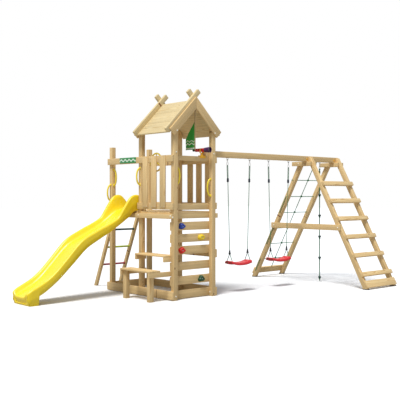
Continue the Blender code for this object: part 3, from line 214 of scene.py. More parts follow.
def moulded(name, code, roughness=0.34, grit=0.00012, drift=0.10):
    """Coloured polyethylene, nylon or resin from a mould, of one deep colour.

    It gives an even surface with a soft sheen, a fine skin and faint scuffs. The drift is how
    much the colour changes from place to place.
    """
    material, tree, shader = new_material(name, IOR=1.50, Coat_Weight=0.08,
                                          Coat_Roughness=0.25)
    where = add(tree, "TexCoord", out="Object")
    cloud = add(tree, "TexNoise", {"Vector": where, "Scale": 7.0, "Detail": 3.0})
    level = add(tree, "MapRange", {"Value": cloud, "From Min": 0.3, "From Max": 0.7,
                                   "To Min": 1.0 - drift / 2, "To Max": 1.0 + drift / 4})
    tint = add(tree, "VectorMath", {0: linear(code)[:3], "Scale": level}, operation="SCALE")
    # Scuffs and touch marks change the sheen over some 60 mm
    rubbed = add(tree, "TexNoise", {"Vector": where, "Scale": 16.0, "Detail": 4.0})
    sheen = add(tree, "MapRange", {"Value": rubbed, "From Min": 0.3, "From Max": 0.7,
                                   "To Min": roughness - 0.06, "To Max": roughness + 0.10})
    # The mould's blasted skin, 1.5 mm grains drawn a little coarse
    skin = add(tree, "TexNoise", {"Vector": where, "Scale": 640.0, "Detail": 1.0})
    bump = add(tree, "Bump", {"Height": skin, "Strength": 0.3, "Distance": grit})
    feed(shader, Base_Color=tint, Roughness=sheen, Normal=bump)
    return material


def braided_rope(name, code, painted_crest_highlight):
    """Braided polypropylene rope, four strands each way, whose weave repeats every 18 mm.

    It gives a dull sheen and a small relief, with a painted highlight in a paler colour on its
    crests. The relief is the product of two sine waves that wind round the rope, one of each
    hand.
    """
    pitch, strands = 0.018, 4.0
    material, tree, shader = new_material(name, Roughness=0.72, Sheen_Weight=0.15)
    uv = add(tree, "UVMap", uv_map="along_round")
    x, y = add(tree, "SeparateXYZ", [uv]).node.outputs[:2]
    around = add(tree, "Math", [y, FULL_TURN * strands], operation="MULTIPLY")
    waves = []
    for hand in (1, -1):
        angle = add(tree, "Math", [x, hand * FULL_TURN / pitch, around],
                    operation="MULTIPLY_ADD")
        waves.append(add(tree, "Math", [angle], operation="SINE"))
    weave = add(tree, "Math", waves, operation="MULTIPLY")
    height = add(tree, "MapRange", {"Value": weave, "From Min": -1.0, "From Max": 1.0})
    # The crests of the braid are painted paler than its hollows: a painted highlight
    colour = add(tree, "ValToRGB", [height], stops=((0.0, code), (0.6, code), (1.0, painted_crest_highlight)))
    bump = add(tree, "Bump", {"Height": height, "Strength": 0.8, "Distance": 0.0012})
    feed(shader, Base_Color=colour, Normal=bump)
    return material


def zinced_steel(name):
    """Bent steel wire and plate with a coat of zinc: grey, with dull spangles of 4 mm."""
    material, tree, shader = new_material(name, Metallic=1.0)
    where = add(tree, "TexCoord", out="Object")
    spangle = add(tree, "TexVoronoi", {"Vector": where, "Scale": 240.0})
    grey = add(tree, "ValToRGB", [spangle], stops=((0.0, "#B9BCBE"), (1.0, "#D5D7D8")))
    dull = add(tree, "MapRange", {"Value": spangle, "To Min": 0.34, "To Max": 0.48})
    feed(shader, Base_Color=grey, Roughness=dull)
    return material


def printed_cloth(name, code, pale):
    """Woven polyester with a dyed ground, a pale hem and two pale waves above it.

    It gives a matt, finely crossed surface. A wave is a band whose height follows the sine
    of the place across the flag.
    """
    material, tree, shader = new_material(name, Roughness=0.80, Sheen_Weight=0.25)
    uv = add(tree, "UVMap", uv_map="along_round")
    x, y = add(tree, "SeparateXYZ", [uv]).node.outputs[:2]
    turn = add(tree, "Math", [x, 70.0], operation="MULTIPLY")
    wave = add(tree, "Math", [turn], operation="SINE")
    waved = add(tree, "Math", [wave, 0.010, y], operation="MULTIPLY_ADD")
    hem = add(tree, "Math", [y, 0.020, 0.010], operation="COMPARE")
    low_wave = add(tree, "Math", [waved, 0.085, 0.009], operation="COMPARE")
    high_wave = add(tree, "Math", [waved, 0.125, 0.006], operation="COMPARE")
    bands = add(tree, "Math", [hem, low_wave], operation="MAXIMUM")
    bands = add(tree, "Math", [bands, high_wave], operation="MAXIMUM")
    ground = add(tree, "Mix", {"Factor": bands, "A": linear(code), "B": linear(pale)},
                 "Result", data_type="RGBA")
    # Threads 2.4 mm apart, which is coarser than real ones so that they show
    weft = add(tree, "TexWave", {"Vector": uv, "Scale": 130.0}, "Fac", bands_direction="X")
    warp = add(tree, "TexWave", {"Vector": uv, "Scale": 130.0}, "Fac", bands_direction="Y")
    cross = add(tree, "Math", [weft, warp], operation="MULTIPLY")
    # The colour is darker where the weave is low and lighter where the threads cross: painted
    # shade of the weave
    shade = add(tree, "MapRange", {"Value": cross, "To Min": 0.88, "To Max": 1.04})
    cloth = add(tree, "VectorMath", {0: ground, "Scale": shade}, operation="SCALE")
    bump = add(tree, "Bump", {"Height": cross, "Strength": 0.4, "Distance": 0.0004})
    feed(shader, Base_Color=cloth, Normal=bump)
    return material


def printed_panel(name, code, pale):
    """Polyethylene panel with a smooth printed coat: green, with one plain pale wave.

    The wave is a band whose height follows the sine of the place along the panel.
    """
    material, tree, shader = new_material(name, Roughness=0.35, IOR=1.5)
    where = add(tree, "TexCoord", out="Object")
    y, z = add(tree, "SeparateXYZ", [where]).node.outputs[1:]
    turn = add(tree, "Math", [y, 62.0], operation="MULTIPLY")
    wave = add(tree, "Math", [turn], operation="SINE")
    waved = add(tree, "Math", [wave, 0.012, z], operation="MULTIPLY_ADD")
    band = add(tree, "Math", [waved, SIGN_MIDDLE_Z, 0.011], operation="COMPARE")
    ground = add(tree, "Mix", {"Factor": band, "A": linear(code), "B": linear(pale)},
                 "Result", data_type="RGBA")
    # Wear shows as paler and darker places some 30 mm across
    worn = add(tree, "TexNoise", {"Vector": where, "Scale": 30.0, "Detail": 3.0})
    shade = add(tree, "MapRange", {"Value": worn, "To Min": 0.92, "To Max": 1.06})
    tint = add(tree, "VectorMath", {0: ground, "Scale": shade}, operation="SCALE")
    feed(shader, Base_Color=tint)
    return material


def put(name, surfaces, finish, body="tower", node=None, mapped=False, grain=None,
        tone=1.0, sharp=35.0):
    """Makes a mesh piece of its surfaces, hangs it on its body and hides the solid that it
    replaces.

    A surface is its points, its faces and, in a mapped piece, the map of its face corners.
    """
    starts = np.cumsum([0] + [len(surface[0]) for surface in surfaces])
    points = np.concatenate([surface[0] for surface in surfaces])
    faces = [[int(corner + start) for corner in face]
             for surface, start in zip(surfaces, starts) for face in surface[1]]
    mesh = bpy.data.meshes.new(name)
    mesh.from_pydata(points.tolist(), [], faces)
    mesh.shade_smooth()
    mesh.set_sharp_from_angle(angle=math.radians(sharp))
    if mapped:
        corners = np.concatenate([surface[2] for surface in surfaces])
        layer = mesh.uv_layers.new(name="along_round")
        layer.data.foreach_set("uv", corners.astype(np.float32).ravel())
    if grain is not None:
        layer = mesh.attributes.new("grain", "FLOAT_VECTOR", "POINT")
        layer.data.foreach_set("vector", np.asarray(grain, np.float32).ravel())
        layer = mesh.attributes.new("tone", "FLOAT", "POINT")
        layer.data.foreach_set("value", np.full(len(points), tone, np.float32))
    mesh.materials.append(finish)
    made = bpy.data.objects.new(name, mesh)
    bpy.context.scene.collection.objects.link(made)
    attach(made, body)
    if node:
        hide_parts(node)
    return made


def thicken(made, thickness, offset=-1.0):
    """Gives an open surface its wall, on the inner side unless the offset says otherwise."""
    wall = made.modifiers.new("wall", "SOLIDIFY")
    wall.thickness = thickness
    wall.offset = offset


def turn_outwards(made):
    """Turns the faces of a closed piece outwards."""
    shape = bmesh.new()
    shape.from_mesh(made.data)
    bmesh.ops.recalc_face_normals(shape, faces=shape.faces[:])
    shape.to_mesh(made.data)
    shape.free()


def unit(vectors):
    """A vector, or each row of an array, divided by its length."""
    vectors = np.asarray(vectors, float)
    return vectors / np.linalg.norm(vectors, axis=-1, keepdims=True)


def extent(start, size):
    """Limits of a piece that begins at start and reaches size further, up or down."""
    return (start, start + size)


def arc(centre, first, second, start, end, steps):
    """Points on an arc whose radii are two vectors: their sum, weighted by cosine and sine."""
    angle = np.linspace(start, end, steps + 1)[:, None]
    return (np.asarray(centre, float) + np.cos(angle) * np.asarray(first, float)
            + np.sin(angle) * np.asarray(second, float))


def oval(centre, first, second, count):
    """Points round a closed oval whose radii are two vectors."""
    return arc(centre, first, second, 0.0, FULL_TURN, count)[:-1]


def coil(x, y, z, radius, turns, drop, count):
    """Points on an upright helix: it turns evenly as it goes down by the drop from z."""
    angle = np.linspace(0, turns * FULL_TURN, count)
    return np.stack([x + radius * np.cos(angle), y + radius * np.sin(angle),
                     z - drop * angle / angle[-1]], 1)


def grid_faces(rows, columns, closed):
    """Quads of a grid of rows and columns, closed round its columns or open."""
    row, column = np.meshgrid(np.arange(rows - 1), np.arange(columns if closed else columns - 1),
                              indexing="ij")
    beside = (column + 1) % columns
    quads = np.stack([row * columns + column, row * columns + beside,
                      (row + 1) * columns + beside, (row + 1) * columns + column], -1)
    return quads.reshape(-1, 4)


def capped_faces(rows, sides):
    """Quads of a closed round grid with a disc over its first and its last ring."""
    last = (rows - 1) * sides
    return [*grid_faces(rows, sides, True), range(sides)[::-1], range(last, last + sides)]


def half_outline(half_w, half_d, corner, splits):
    """Right half of a rounded rectangle, from its bottom edge round to its top edge.

    Two quarter circles of the corner radius stand at the ends of a straight side, which is
    split evenly.
    """
    corner = max(min(corner, half_w * 0.9, half_d * 0.9), 0.0002)
    turn = np.linspace(0.0, math.pi / 2, 4)
    low = np.stack([half_w - corner + corner * np.sin(turn),
                    -half_d + corner - corner * np.cos(turn)], 1)
    high = np.stack([half_w - corner + corner * np.cos(turn),
                     half_d - corner + corner * np.sin(turn)], 1)
    side = np.linspace(low[-1], high[0], splits + 1)[1:-1]
    return np.concatenate([low, side, high])


def bar_surface(start, end, across, width, depth, cuts=(), corner=0.003, splits=1):
    """A straight bar with softened edges, cut off at each end by planes.

    Every point of the outline runs along the bar to where it meets the nearest cut, and the
    last rings draw in by the corner radius, so that the ends are softened too. Returns the
    points, the faces, and the place of each point along, across and through the bar.
    """
    start = np.asarray(start, float)
    run = np.asarray(end, float) - start
    along, across = unit(run), unit(across)
    out = np.cross(along, across)
    rings = []
    for inset, back in ((corner, 0.0), (corner * 0.29, corner * 0.29), (0.0, corner)):
        half = half_outline(width / 2 - inset, depth / 2 - inset, corner - inset, splits)
        outline = np.concatenate([half, half[::-1] * (-1, 1)])
        lines = start + outline[:, :1] * across + outline[:, 1:] * out
        low = np.zeros(len(outline))
        high = np.full(len(outline), np.linalg.norm(run))
        for point, normal in cuts:
            reach = (np.asarray(point, float) - lines) @ normal / (along @ normal)
            if along @ normal > 0:
                high = np.minimum(high, reach)
            else:
                low = np.maximum(low, reach)
        rings.append((outline, lines, low + back, high - back))
    rows = [(outline, lines, low) for outline, lines, low, high in rings]
    rows += [(outline, lines, high) for outline, lines, low, high in reversed(rings)]
    points = np.concatenate([lines + reach[:, None] * along for outline, lines, reach in rows])
    local = np.concatenate([np.column_stack([reach, outline]) for outline, lines, reach in rows])
    count = len(outline)
    step = np.arange(count // 2 - 1)
    cap = np.stack([step, step + 1, count - 2 - step, count - 1 - step], 1)
    top = cap + count * (len(rows) - 1)
    faces = np.concatenate([grid_faces(len(rows), count, True), top, cap[:, ::-1]])
    return points, faces, local


def tube_surface(path, radius, sides=12, closed=False):
    """A round tube: circles of points square to the path, carried along it without twist.

    The ends of an open tube are domed by rings that shrink with the cosine of their angle.
    Returns the points, the faces and each face corner's length along and share round.
    """
    path = np.asarray(path, float)
    radius = np.broadcast_to(np.asarray(radius, float), len(path)).copy()
    if closed:
        tangents = np.roll(path, -1, 0) - np.roll(path, 1, 0)
    else:
        tangents = np.gradient(path, axis=0)
        bends = np.radians([80, 55, 25])
        lead = radius[0] * np.sin(bends)[:, None] * unit(tangents[0])
        trail = radius[-1] * np.sin(bends)[::-1][:, None] * unit(tangents[-1])
        path = np.concatenate([path[0] - lead, path, path[-1] + trail])
        radius = np.concatenate([radius[0] * np.cos(bends), radius,
                                 radius[-1] * np.cos(bends)[::-1]])
        tangents = np.concatenate([np.repeat(tangents[:1], 3, 0), tangents,
                                   np.repeat(tangents[-1:], 3, 0)])
    tangents = unit(tangents)
    guide = np.eye(3)[np.argmin(np.abs(tangents[0]))]
    first = unit(np.cross(tangents[0], guide))
    firsts = []
    for tangent in tangents:
        first = unit(first - tangent * (first @ tangent))
        firsts.append(first)
    firsts = np.array(firsts)[:, None]
    seconds = np.cross(tangents, firsts[:, 0])[:, None]
    angle = np.linspace(0, FULL_TURN, sides, endpoint=False)[:, None]
    rings = path[:, None] + radius[:, None, None] * (np.cos(angle) * firsts
                                                     + np.sin(angle) * seconds)
    count = len(rings)
    if closed:
        path = np.concatenate([path, path[:1]])
        faces = grid_faces(count + 1, sides, True) % (count * sides)
    else:
        faces = capped_faces(count, sides)
    lengths = np.concatenate([[0.0], np.cumsum(np.linalg.norm(np.diff(path, axis=0), axis=1))])
    row, column = np.meshgrid(np.arange(len(path) - 1), np.arange(sides), indexing="ij")
    corners = [(lengths[row], column / sides), (lengths[row], (column + 1) / sides),
               (lengths[row + 1], (column + 1) / sides), (lengths[row + 1], column / sides)]
    uv = np.stack([np.stack(pair, -1) for pair in corners], 2).reshape(-1, 2)
    if not closed:
        end_uv = np.column_stack([np.zeros(sides), np.arange(sides) / sides])
        uv = np.concatenate([uv, end_uv[::-1], end_uv + (lengths[-1], 0.0)])
    return rings.reshape(-1, 3), faces, uv


def turned_surface(profile, place, direction, sides=24):
    """A turned surface: radius and height of the profile swept round the direction.

    The profile goes up from the place, and both its ends close with a small disc.
    """
    profile = np.asarray(profile, float)[:, None]
    direction = unit(direction)
    first = unit(np.cross(direction, np.eye(3)[np.argmin(np.abs(direction))]))
    spokes = oval((0, 0, 0), first, np.cross(direction, first), sides)
    points = np.asarray(place, float) + profile[..., :1] * spokes + profile[..., 1:] * direction
    return points.reshape(-1, 3), capped_faces(len(profile), sides)


def smooth_path(knots, count):
    """Points at even spacing on a Catmull-Rom curve through the knots."""
    knots = np.asarray(knots, float)
    padded = np.concatenate([2 * knots[:1] - knots[1:2], knots, 2 * knots[-1:] - knots[-2:-1]])
    share = np.linspace(0, 1, 24, endpoint=False)[:, None]
    runs = []
    for p0, p1, p2, p3 in zip(padded, padded[1:], padded[2:], padded[3:]):
        runs.append(0.5 * (2 * p1 + (p2 - p0) * share + (2 * p0 - 5 * p1 + 4 * p2 - p3)
                           * share ** 2 + (3 * p1 - p0 - 3 * p2 + p3) * share ** 3))
    dense = np.concatenate(runs + [knots[-1:]])
    length = np.concatenate([[0], np.cumsum(np.linalg.norm(np.diff(dense, axis=0), axis=1))])
    even = np.linspace(0, length[-1], count)
    return np.stack([np.interp(even, length, dense[:, axis]) for axis in range(3)], 1)


def smooth_value(knots, places):
    """A smooth curve through the (place, value) knots, read at many places.

    Each stretch is a cubic, whose slope at a knot is that of the line between the knots on
    either side of it.
    """
    x, v = np.asarray(knots, float).T
    low = np.maximum(np.arange(len(x)) - 1, 0)
    high = np.minimum(np.arange(len(x)) + 1, len(x) - 1)
    slope = (v[high] - v[low]) / (x[high] - x[low])
    at = np.clip(np.searchsorted(x, places, side="left") - 1, 0, len(x) - 2)
    width = x[at + 1] - x[at]
    share = np.clip((places - x[at]) / width, 0, 1)
    square, cube = share ** 2, share ** 3
    return ((2 * cube - 3 * square + 1) * v[at] + (cube - 2 * square + share) * width
            * slope[at] + (3 * square - 2 * cube) * v[at + 1]
            + (cube - square) * width * slope[at + 1])


def timber(name, start, end, across, width, depth, node, cuts=(), corner=0.003, splits=1,
           wood=None, slot="pine"):
    """One planed timber: its grain runs along it, from its own place in its own log."""
    surface = bar_surface(start, end, across, width, depth, cuts, corner, splits)
    log = np.array([CHANCE.uniform(0, 60), CHANCE.uniform(-0.04, 0.04),
                    CHANCE.choice((-1, 1)) * CHANCE.uniform(0.03, 0.10)])
    return put(name, [surface], wood or PINE, node=node, grain=surface[2] + log,
               tone=CHANCE.uniform(0.95, 1.04))


def board(name, x, y, z, run, node, **more):
    """A square-cut timber between three pairs of limits, with its grain along run."""
    low, high = np.sort(np.array([x, y, z]).T, axis=0)
    size, axis = high - low, "xyz".index(run)
    wide = 1 if axis == 0 else 0
    start, end = (low + high) / 2, (low + high) / 2
    start[axis], end[axis] = low[axis], high[axis]
    return timber(name, start, end, np.eye(3)[wide], size[wide], size[3 - axis - wide], node,
                  **more)


point_camera()
PINE = planed_pine("planed_pine", "#E9CB93", "#CBA063", "#80502A")
ROOF_PINE = planed_pine("planed_pine_pale", "#E0CC9C", "#C8AB74", "#8A5C34")
PALE = {"wood": ROOF_PINE, "slot": "pale_pine"}
SLIDE_YELLOW = moulded("moulded_polyethylene_slide", "#FADB1E", 0.30, 0.00015, 0.05)
YELLOW = moulded("moulded_polyethylene_yellow", "#FBE03A", 0.36)
ORANGE = moulded("moulded_polyethylene_orange", "#F5B81C", 0.38)
RED = moulded("moulded_polyethylene_red", "#D8202A", 0.34)
BLUE = moulded("moulded_resin_blue", "#1E3FA0", 0.42, 0.0005)
HOLD_YELLOW = moulded("moulded_resin_yellow", "#F2D12F", 0.42, 0.0005)
HOLD_RED = moulded("moulded_resin_red", "#E02418", 0.42, 0.0005)
HOLD_GREEN = moulded("moulded_resin_green", "#0D4220", 0.42, 0.0005)
LIME = moulded("moulded_polyethylene_lime", "#B4C832", 0.38)
DARK_GREEN = moulded("moulded_polyethylene_green", "#0F3B35", 0.38)
RUNG_RED = moulded("moulded_polyethylene_dark_red", "#9E2036", 0.38)
PURPLE = moulded("moulded_polyethylene_purple", "#4B2459", 0.36)
SAND = moulded("moulded_polyethylene_sand", "#A68A5E", 0.40)
BLACK = moulded("moulded_nylon_black", "#1B2024", 0.45)
NAVY = moulded("moulded_nylon_navy", "#16263A", 0.42)
WHITE_CAP = moulded("moulded_cap_ivory", "#F6F1E2", 0.40)
GLASS = moulded("polished_dark_lens", "#0B0A12", 0.12, 0.00002)
# Its paler green is the painted highlight on the braid's crests
ROPE = braided_rope("braided_rope_green", "#0E6636", "#3F9A63")
STEEL = zinced_steel("zinced_steel")
CLOTH = printed_cloth("woven_polyester_green", "#0D9C1E", "#DDF0D8")
SIGN = printed_panel("printed_panel_green", "#2C8C48", "#D9EBD8")


def braided(name, path, radius, body="tower", node=None, sides=10, closed=False):
    """A rope along its path, with the braid's own map along and round it."""
    return put(name, [tube_surface(path, radius, sides, closed)], ROPE, body, node,
               mapped=True)


def make_hanger(name, x, body):
    """A barrel that turns on the staple's pin, with a stem and a tall oval ring under it."""
    pin = (x, BEAM_Y, HINGE_Z)
    barrel = turned_surface(((0.0044, -0.006), (0.010, -0.006), (0.011, -0.005),
                             (0.011, 0.005), (0.010, 0.006), (0.0044, 0.006)), pin, X_AXIS)
    stem = turned_surface(((0.0052, -0.030), (0.0048, -0.016), (0.0052, -0.0095)), pin, Z_AXIS,
                          14)
    ring = oval((x, BEAM_Y, HINGE_Z - 0.0615), (0.0155, 0, 0), (0, 0, 0.0335), 40)
    put(name, [barrel, stem, tube_surface(ring, 0.0038, 10, True)], STEEL, body)


def seat_height(offset):
    """Height of a seat's top: it rises by the 2.4th power of the share from its middle."""
    return SEAT_Z + SEAT_RISE * (np.abs(offset) / (SEAT_LENGTH / 2)) ** 2.4


def make_swing(number, centre_x):
    """A swing: two straight ropes from their rings through the adjusters to the seat."""
    body = "swing_" + str(number)
    adjuster_z, cone_z, cone_h = 1.720, 0.585, 0.065
    # Radius and height of the cone over the splice, with two grip ribs
    cone = ((0.0060, 0.0), (0.0190, 0.0), (0.0195, 0.004), (0.0170, cone_h - 0.054),
            (0.0176, cone_h - 0.050), (0.0172, cone_h - 0.044), (0.0150, cone_h - 0.042),
            (0.0118, cone_h - 0.022), (0.0128, cone_h - 0.020), (0.0128, cone_h - 0.014),
            (0.0105, cone_h - 0.012), (0.0088, cone_h - 0.003), (0.0064, cone_h))
    for hand, word in ((-1, "left"), (1, "right")):
        hook_x, low_x = centre_x + hand * HOOK_HALF, centre_x + hand * ROPE_HALF
        node = body + "_rope_" + word
        ring = np.array([hook_x, BEAM_Y, HINGE_Z - RING_DROP])
        slope = (np.array([low_x, BEAM_Y, 0.650]) - ring) / (0.650 - ring[2])
        # The doubled rope goes up from the adjuster, over the ring and back down
        low, start, middle, high = (ring + slope * (z - ring[2])
                                    for z in (0.640, 1.700, adjuster_z, 1.800))
        over = [ring + (0, y, z) for y, z in ((0.0088, -0.01), (0.0062, 0.0066), (0, 0.009),
                                              (-0.0062, 0.0066), (-0.0088, -0.01))]
        loop = [start, middle + (0, 0.006, 0), high + (0, 0.0085, 0), *over,
                high - (0, 0.0085, 0), middle - (0, 0.006, 0)]
        braided(node + "_loop", smooth_path(loop, 70), SWING_ROPE_RADIUS, body, node)
        run = np.linspace(start, low, 40)
        rope = braided(node + "_rope", run, SWING_ROPE_RADIUS, body, node)
        make_hanger(node + "_hanger", hook_x, body)
        adjuster = bar_surface(middle - (0, 0, 0.030), middle + (0, 0, 0.030), X_AXIS, 0.018,
                               0.038, corner=0.008, splits=4)
        put(node + "_adjuster", [adjuster], NAVY, body)
        put(node + "_cone", [turned_surface(cone, (low_x, BEAM_Y, cone_z), Z_AXIS)], BLACK,
            body)
        # Each end leaves the cone, spreads and goes through the seat to its knot
        seat_top = seat_height(ROPE_HALF + 0.005) + GAP
        for split, side in ((-1, "front"), (1, "rear")):
            knots = [(low_x, BEAM_Y + split * out, z)
                     for out, z in ((0.008, 0.592), (0.011, 0.574), (0.049, seat_top + 0.018),
                                    (0.055, seat_top + 0.006), (0.055, seat_top - 0.020))]
            braided(node + "_end_" + side, smooth_path(knots, 26), SWING_ROPE_RADIUS, body)
            knot = coil(low_x, BEAM_Y + split * 0.055, seat_top - 0.016, 0.0062, 2.6, 0.014, 44)
            braided(node + "_knot_" + side, knot, 0.0042, body, sides=8)
    make_seat(body, centre_x)


def make_seat(body, centre_x):
    """A moulded seat: its section is a flat top with rounded shoulders and turned-down sides.

    The section is carried along the seat on the rising curve of its top, the ends are
    rounded off, and four ribs are pressed up along it as small cosine waves.
    """
    rows, half = 56, SEAT_WIDTH / 2
    splay, shoulder, flange, end_round = 0.006, 0.012, 0.036, 0.022
    offset = np.linspace(-1, 1, rows)[:, None] * SEAT_LENGTH / 2
    turn = np.linspace(0, math.pi / 2, 7)
    flat = half - splay - shoulder
    rim = np.stack([flat + shoulder * np.cos(turn), -shoulder + shoulder * np.sin(turn)], 1)
    top = np.linspace((flat, 0), (0, 0), 18)[1:]
    right = np.concatenate([[(half, -flange), (half - splay / 2, -flange * 0.6)], rim, top])
    across, down = np.concatenate([right, right[-2::-1] * (-1, 1)]).T
    edge = np.clip((SEAT_LENGTH / 2 - np.abs(offset)) / end_round, 0, 1)
    round_off = np.sqrt(1 - (1 - edge) ** 2)
    rib = 0.0011 * (1 + np.cos(across / 0.020 * FULL_TURN))
    rib = rib * (np.abs(across) < 0.060) * (down > -0.001)
    y = BEAM_Y + across * (0.90 + 0.10 * round_off)
    z = seat_height(offset) + down + rib * edge - 0.010 * (1 - round_off) - 0.0022
    x = np.broadcast_to(centre_x + offset, y.shape)
    surface = (np.stack([x, y, z], -1).reshape(-1, 3),
               grid_faces(rows, len(across), False)[:, ::-1])
    thicken(put(body + "_seat_board", [surface], RED, body, body + "_seat",
                sharp=50), 0.006)


def make_knob_rope():
    """The rope with discs to stand on, each held on a knot."""
    body, x, y, top = "knob_rope", KNOB_ROPE_X, BEAM_Y, HINGE_Z - RING_DROP
    make_hanger("knob_rope_hanger", x, body)
    path = np.linspace((x, y, top), (x, y, KNOB_ROPE_END + 0.004), 90)
    rope = braided("knob_rope_rope", path, KNOB_ROPE_RADIUS, body, "knob_rope", 12)
    disc = ((0.0085, -0.016), (0.012, -0.0175), (0.018, -0.0145), (0.0235, -0.009),
            (0.026, -0.003), (0.026, 0.002), (0.0235, 0.0085), (0.019, 0.0145),
            (0.013, 0.0175), (0.0085, 0.016))
    for number, z in enumerate(KNOB_HEIGHTS, start=1):
        put("knob_" + str(number), [turned_surface(disc, (x, y, z), Z_AXIS, 32)],
                          DARK_GREEN, body)
        knot = coil(x, y, z - 0.020, 0.0095, 2.2, 0.015, 48)
        braided("knot_" + str(number), knot, 0.006, body, sides=8)
    # The whipping under the ring, and the eye over it
    braided("knob_rope_whipping", coil(x, y, top - 0.030, 0.0105, 5, 0.040, 90),
                          0.0035, body, sides=8)
    eye = oval((x, y, top - 0.006), (0, 0, 0.0155), (0, 0.0105, 0), 28)
    braided("knob_rope_eye", eye, 0.0055, body, closed=True)


def leg_line(hand, z):
    """Y of the outer edge of the stair legs (-1) or the net legs (+1)."""
    return STAIR_LEAN * z - STAIR_REACH if hand < 0 else NET_REACH - NET_LEAN * z


def leg_directions(hand):
    """Unit vectors up along a leg, and square to its outer face."""
    along = unit((0.0, STAIR_LEAN if hand < 0 else -NET_LEAN, 1.0))
    return along, np.array([0.0, hand * along[2], -hand * along[1]])


def net_place(x, z, lift=0.0):
    """A point in the middle plane of the net legs, or lifted outward from it."""
    along, outward = leg_directions(1)
    return np.array([x, leg_line(1, z) - LEG / 2 / along[2], z]) + outward * lift


def make_net():
    """One rope in rows through the legs, one over its outer side, and a wrap where they cross.

    The first rope turns at the outer side of each leg and runs down it to its next row.
    """
    radius = NET_ROPE_RADIUS
    turn = radius * 1.6
    left, right = FRAME_X[0] - radius / 2 - turn, FRAME_X[1] + LEG + radius / 2 + turn
    knots = [net_place(left - 0.030, NET_ROWS[0])]
    for index, z in enumerate(NET_ROWS):
        first, last, inward = (right, left, -turn) if index % 2 else (left, right, turn)
        if index:
            knots += [net_place(first, z + turn * 1.5),
                      net_place(first + inward * 0.4, z + turn * 0.4)]
        knots += [net_place(share * (last - inward) + (1 - share) * (first + inward), z)
                  for share in (0.0, 0.04, 0.5, 0.96, 1.0)]
        if index < len(NET_ROWS) - 1:
            knots += [net_place(last - inward * 0.4, z - turn * 0.4),
                      net_place(last, z - turn * 1.5),
                      net_place(last, (z + NET_ROWS[index + 1]) / 2)]
    knots += [net_place(left, NET_ROWS[-1] - turn * 1.5), net_place(left, 0.120)]
    braided("net_zigzag_rope", smooth_path(knots, 620), radius, node="net_rope")
    lift = 2 * radius - 0.001
    along, outward = leg_directions(1)
    head = np.array([NET_MIDDLE, BEAM_Y + BEAM / 2 + GAP, BEAM_Z + BEAM / 2])
    board_top = NET_BOARD_Z + BOARD_W * along[2]
    knots = [head, head + (0, 0.012, 0), head + (0, 0.030, -0.012),
             net_place(NET_MIDDLE, 1.950, lift * 0.9)]
    knots += [net_place(NET_MIDDLE, z, lift) for z in (*NET_ROWS, board_top + 0.004)]
    braided("net_middle_rope", smooth_path(knots, 190), radius, node="net_rope")
    # A wrap is three turns of an oval that drifts across the crossing
    angle = np.linspace(0, 3 * FULL_TURN, 60)[:, None]
    wrap = np.cos(angle) * outward * 0.0145 + np.sin(angle) * (along + X_AXIS) * 0.0085
    wrap += (along - X_AXIS) * (angle / angle[-1] - 0.5) * 0.014
    wraps = [tube_surface(net_place(NET_MIDDLE, z, lift / 2) + wrap, 0.0032, 8)
             for z in NET_ROWS]
    put("net_wraps", wraps, ROPE, mapped=True)


# The cords are made before anything else
for swing_number, middle_x in enumerate(SWING_XS, start=1):
    make_swing(swing_number, middle_x)
make_knob_rope()
make_net()

# Each screw head and bolt cap is a place on a face and the way that the face looks
SCREWS, CAPS = [], []


def roof_point(side, run, lift):
    """X and Z on a slope: run is down from the ridge, lift is above the roof boards."""
    x = MIDDLE + side * (run * math.cos(ROOF_PITCH) + lift * math.sin(ROOF_PITCH))
    return x, RIDGE - run * math.sin(ROOF_PITCH) + lift * math.cos(ROOF_PITCH)


def roof_directions(side):
    """Unit vectors down along a slope, and square to it."""
    along = np.array((side * math.cos(ROOF_PITCH), 0.0, -math.sin(ROOF_PITCH)))
    return along, np.array((side * math.sin(ROOF_PITCH), 0.0, math.cos(ROOF_PITCH)))


def side_limits(side, inner_offset, thickness):
    """X limits of a board outside the near (-1) or the far (+1) posts."""
    return extent((NEAR if side < 0 else FAR) + side * (inner_offset + GAP), side * thickness)


def sloped_board(name, side, run, lift, y, node, cuts=(), **more):
    """A board on one slope; its grain runs down the slope or along the ridge by its shape."""
    width, depth, middle_lift = y[1] - y[0], lift[1] - lift[0], sum(lift) / 2
    if width > run[1] - run[0]:
        x, z = roof_point(side, sum(run) / 2, middle_lift)
        timber(name, (x, y[0], z), (x, y[1], z), roof_directions(side)[0], run[1] - run[0],
               depth, node, cuts, **more)
        return
    (low_x, low_z), (high_x, high_z) = (roof_point(side, place, middle_lift)
                                        for place in reversed(run))
    timber(name, (low_x, sum(y) / 2, low_z), (high_x, sum(y) / 2, high_z), (0, 1, 0), width,
           depth, node, cuts, **more)


def make_posts():
    """Six posts, of which the four under the roof are cut off by its slopes."""
    for row, place in enumerate(("front", "mid", "end")):
        for side, word in SIDES:
            x = 0.0 if side < 0 else SPAN
            cuts, top = (), LOW_POST_H
            if place != "end":
                under_x, under_z = roof_point(side, 0.0, -ROOF_T - GAP)
                cuts, top = (((under_x, 0.0, under_z), roof_directions(side)[1]),), RIDGE
            name = place + "_" + word
            timber(name + "_post", (x, row * BAY, 0.0), (x, row * BAY, top), X_AXIS, POST, POST,
                   "post_" + name, cuts, corner=0.004)


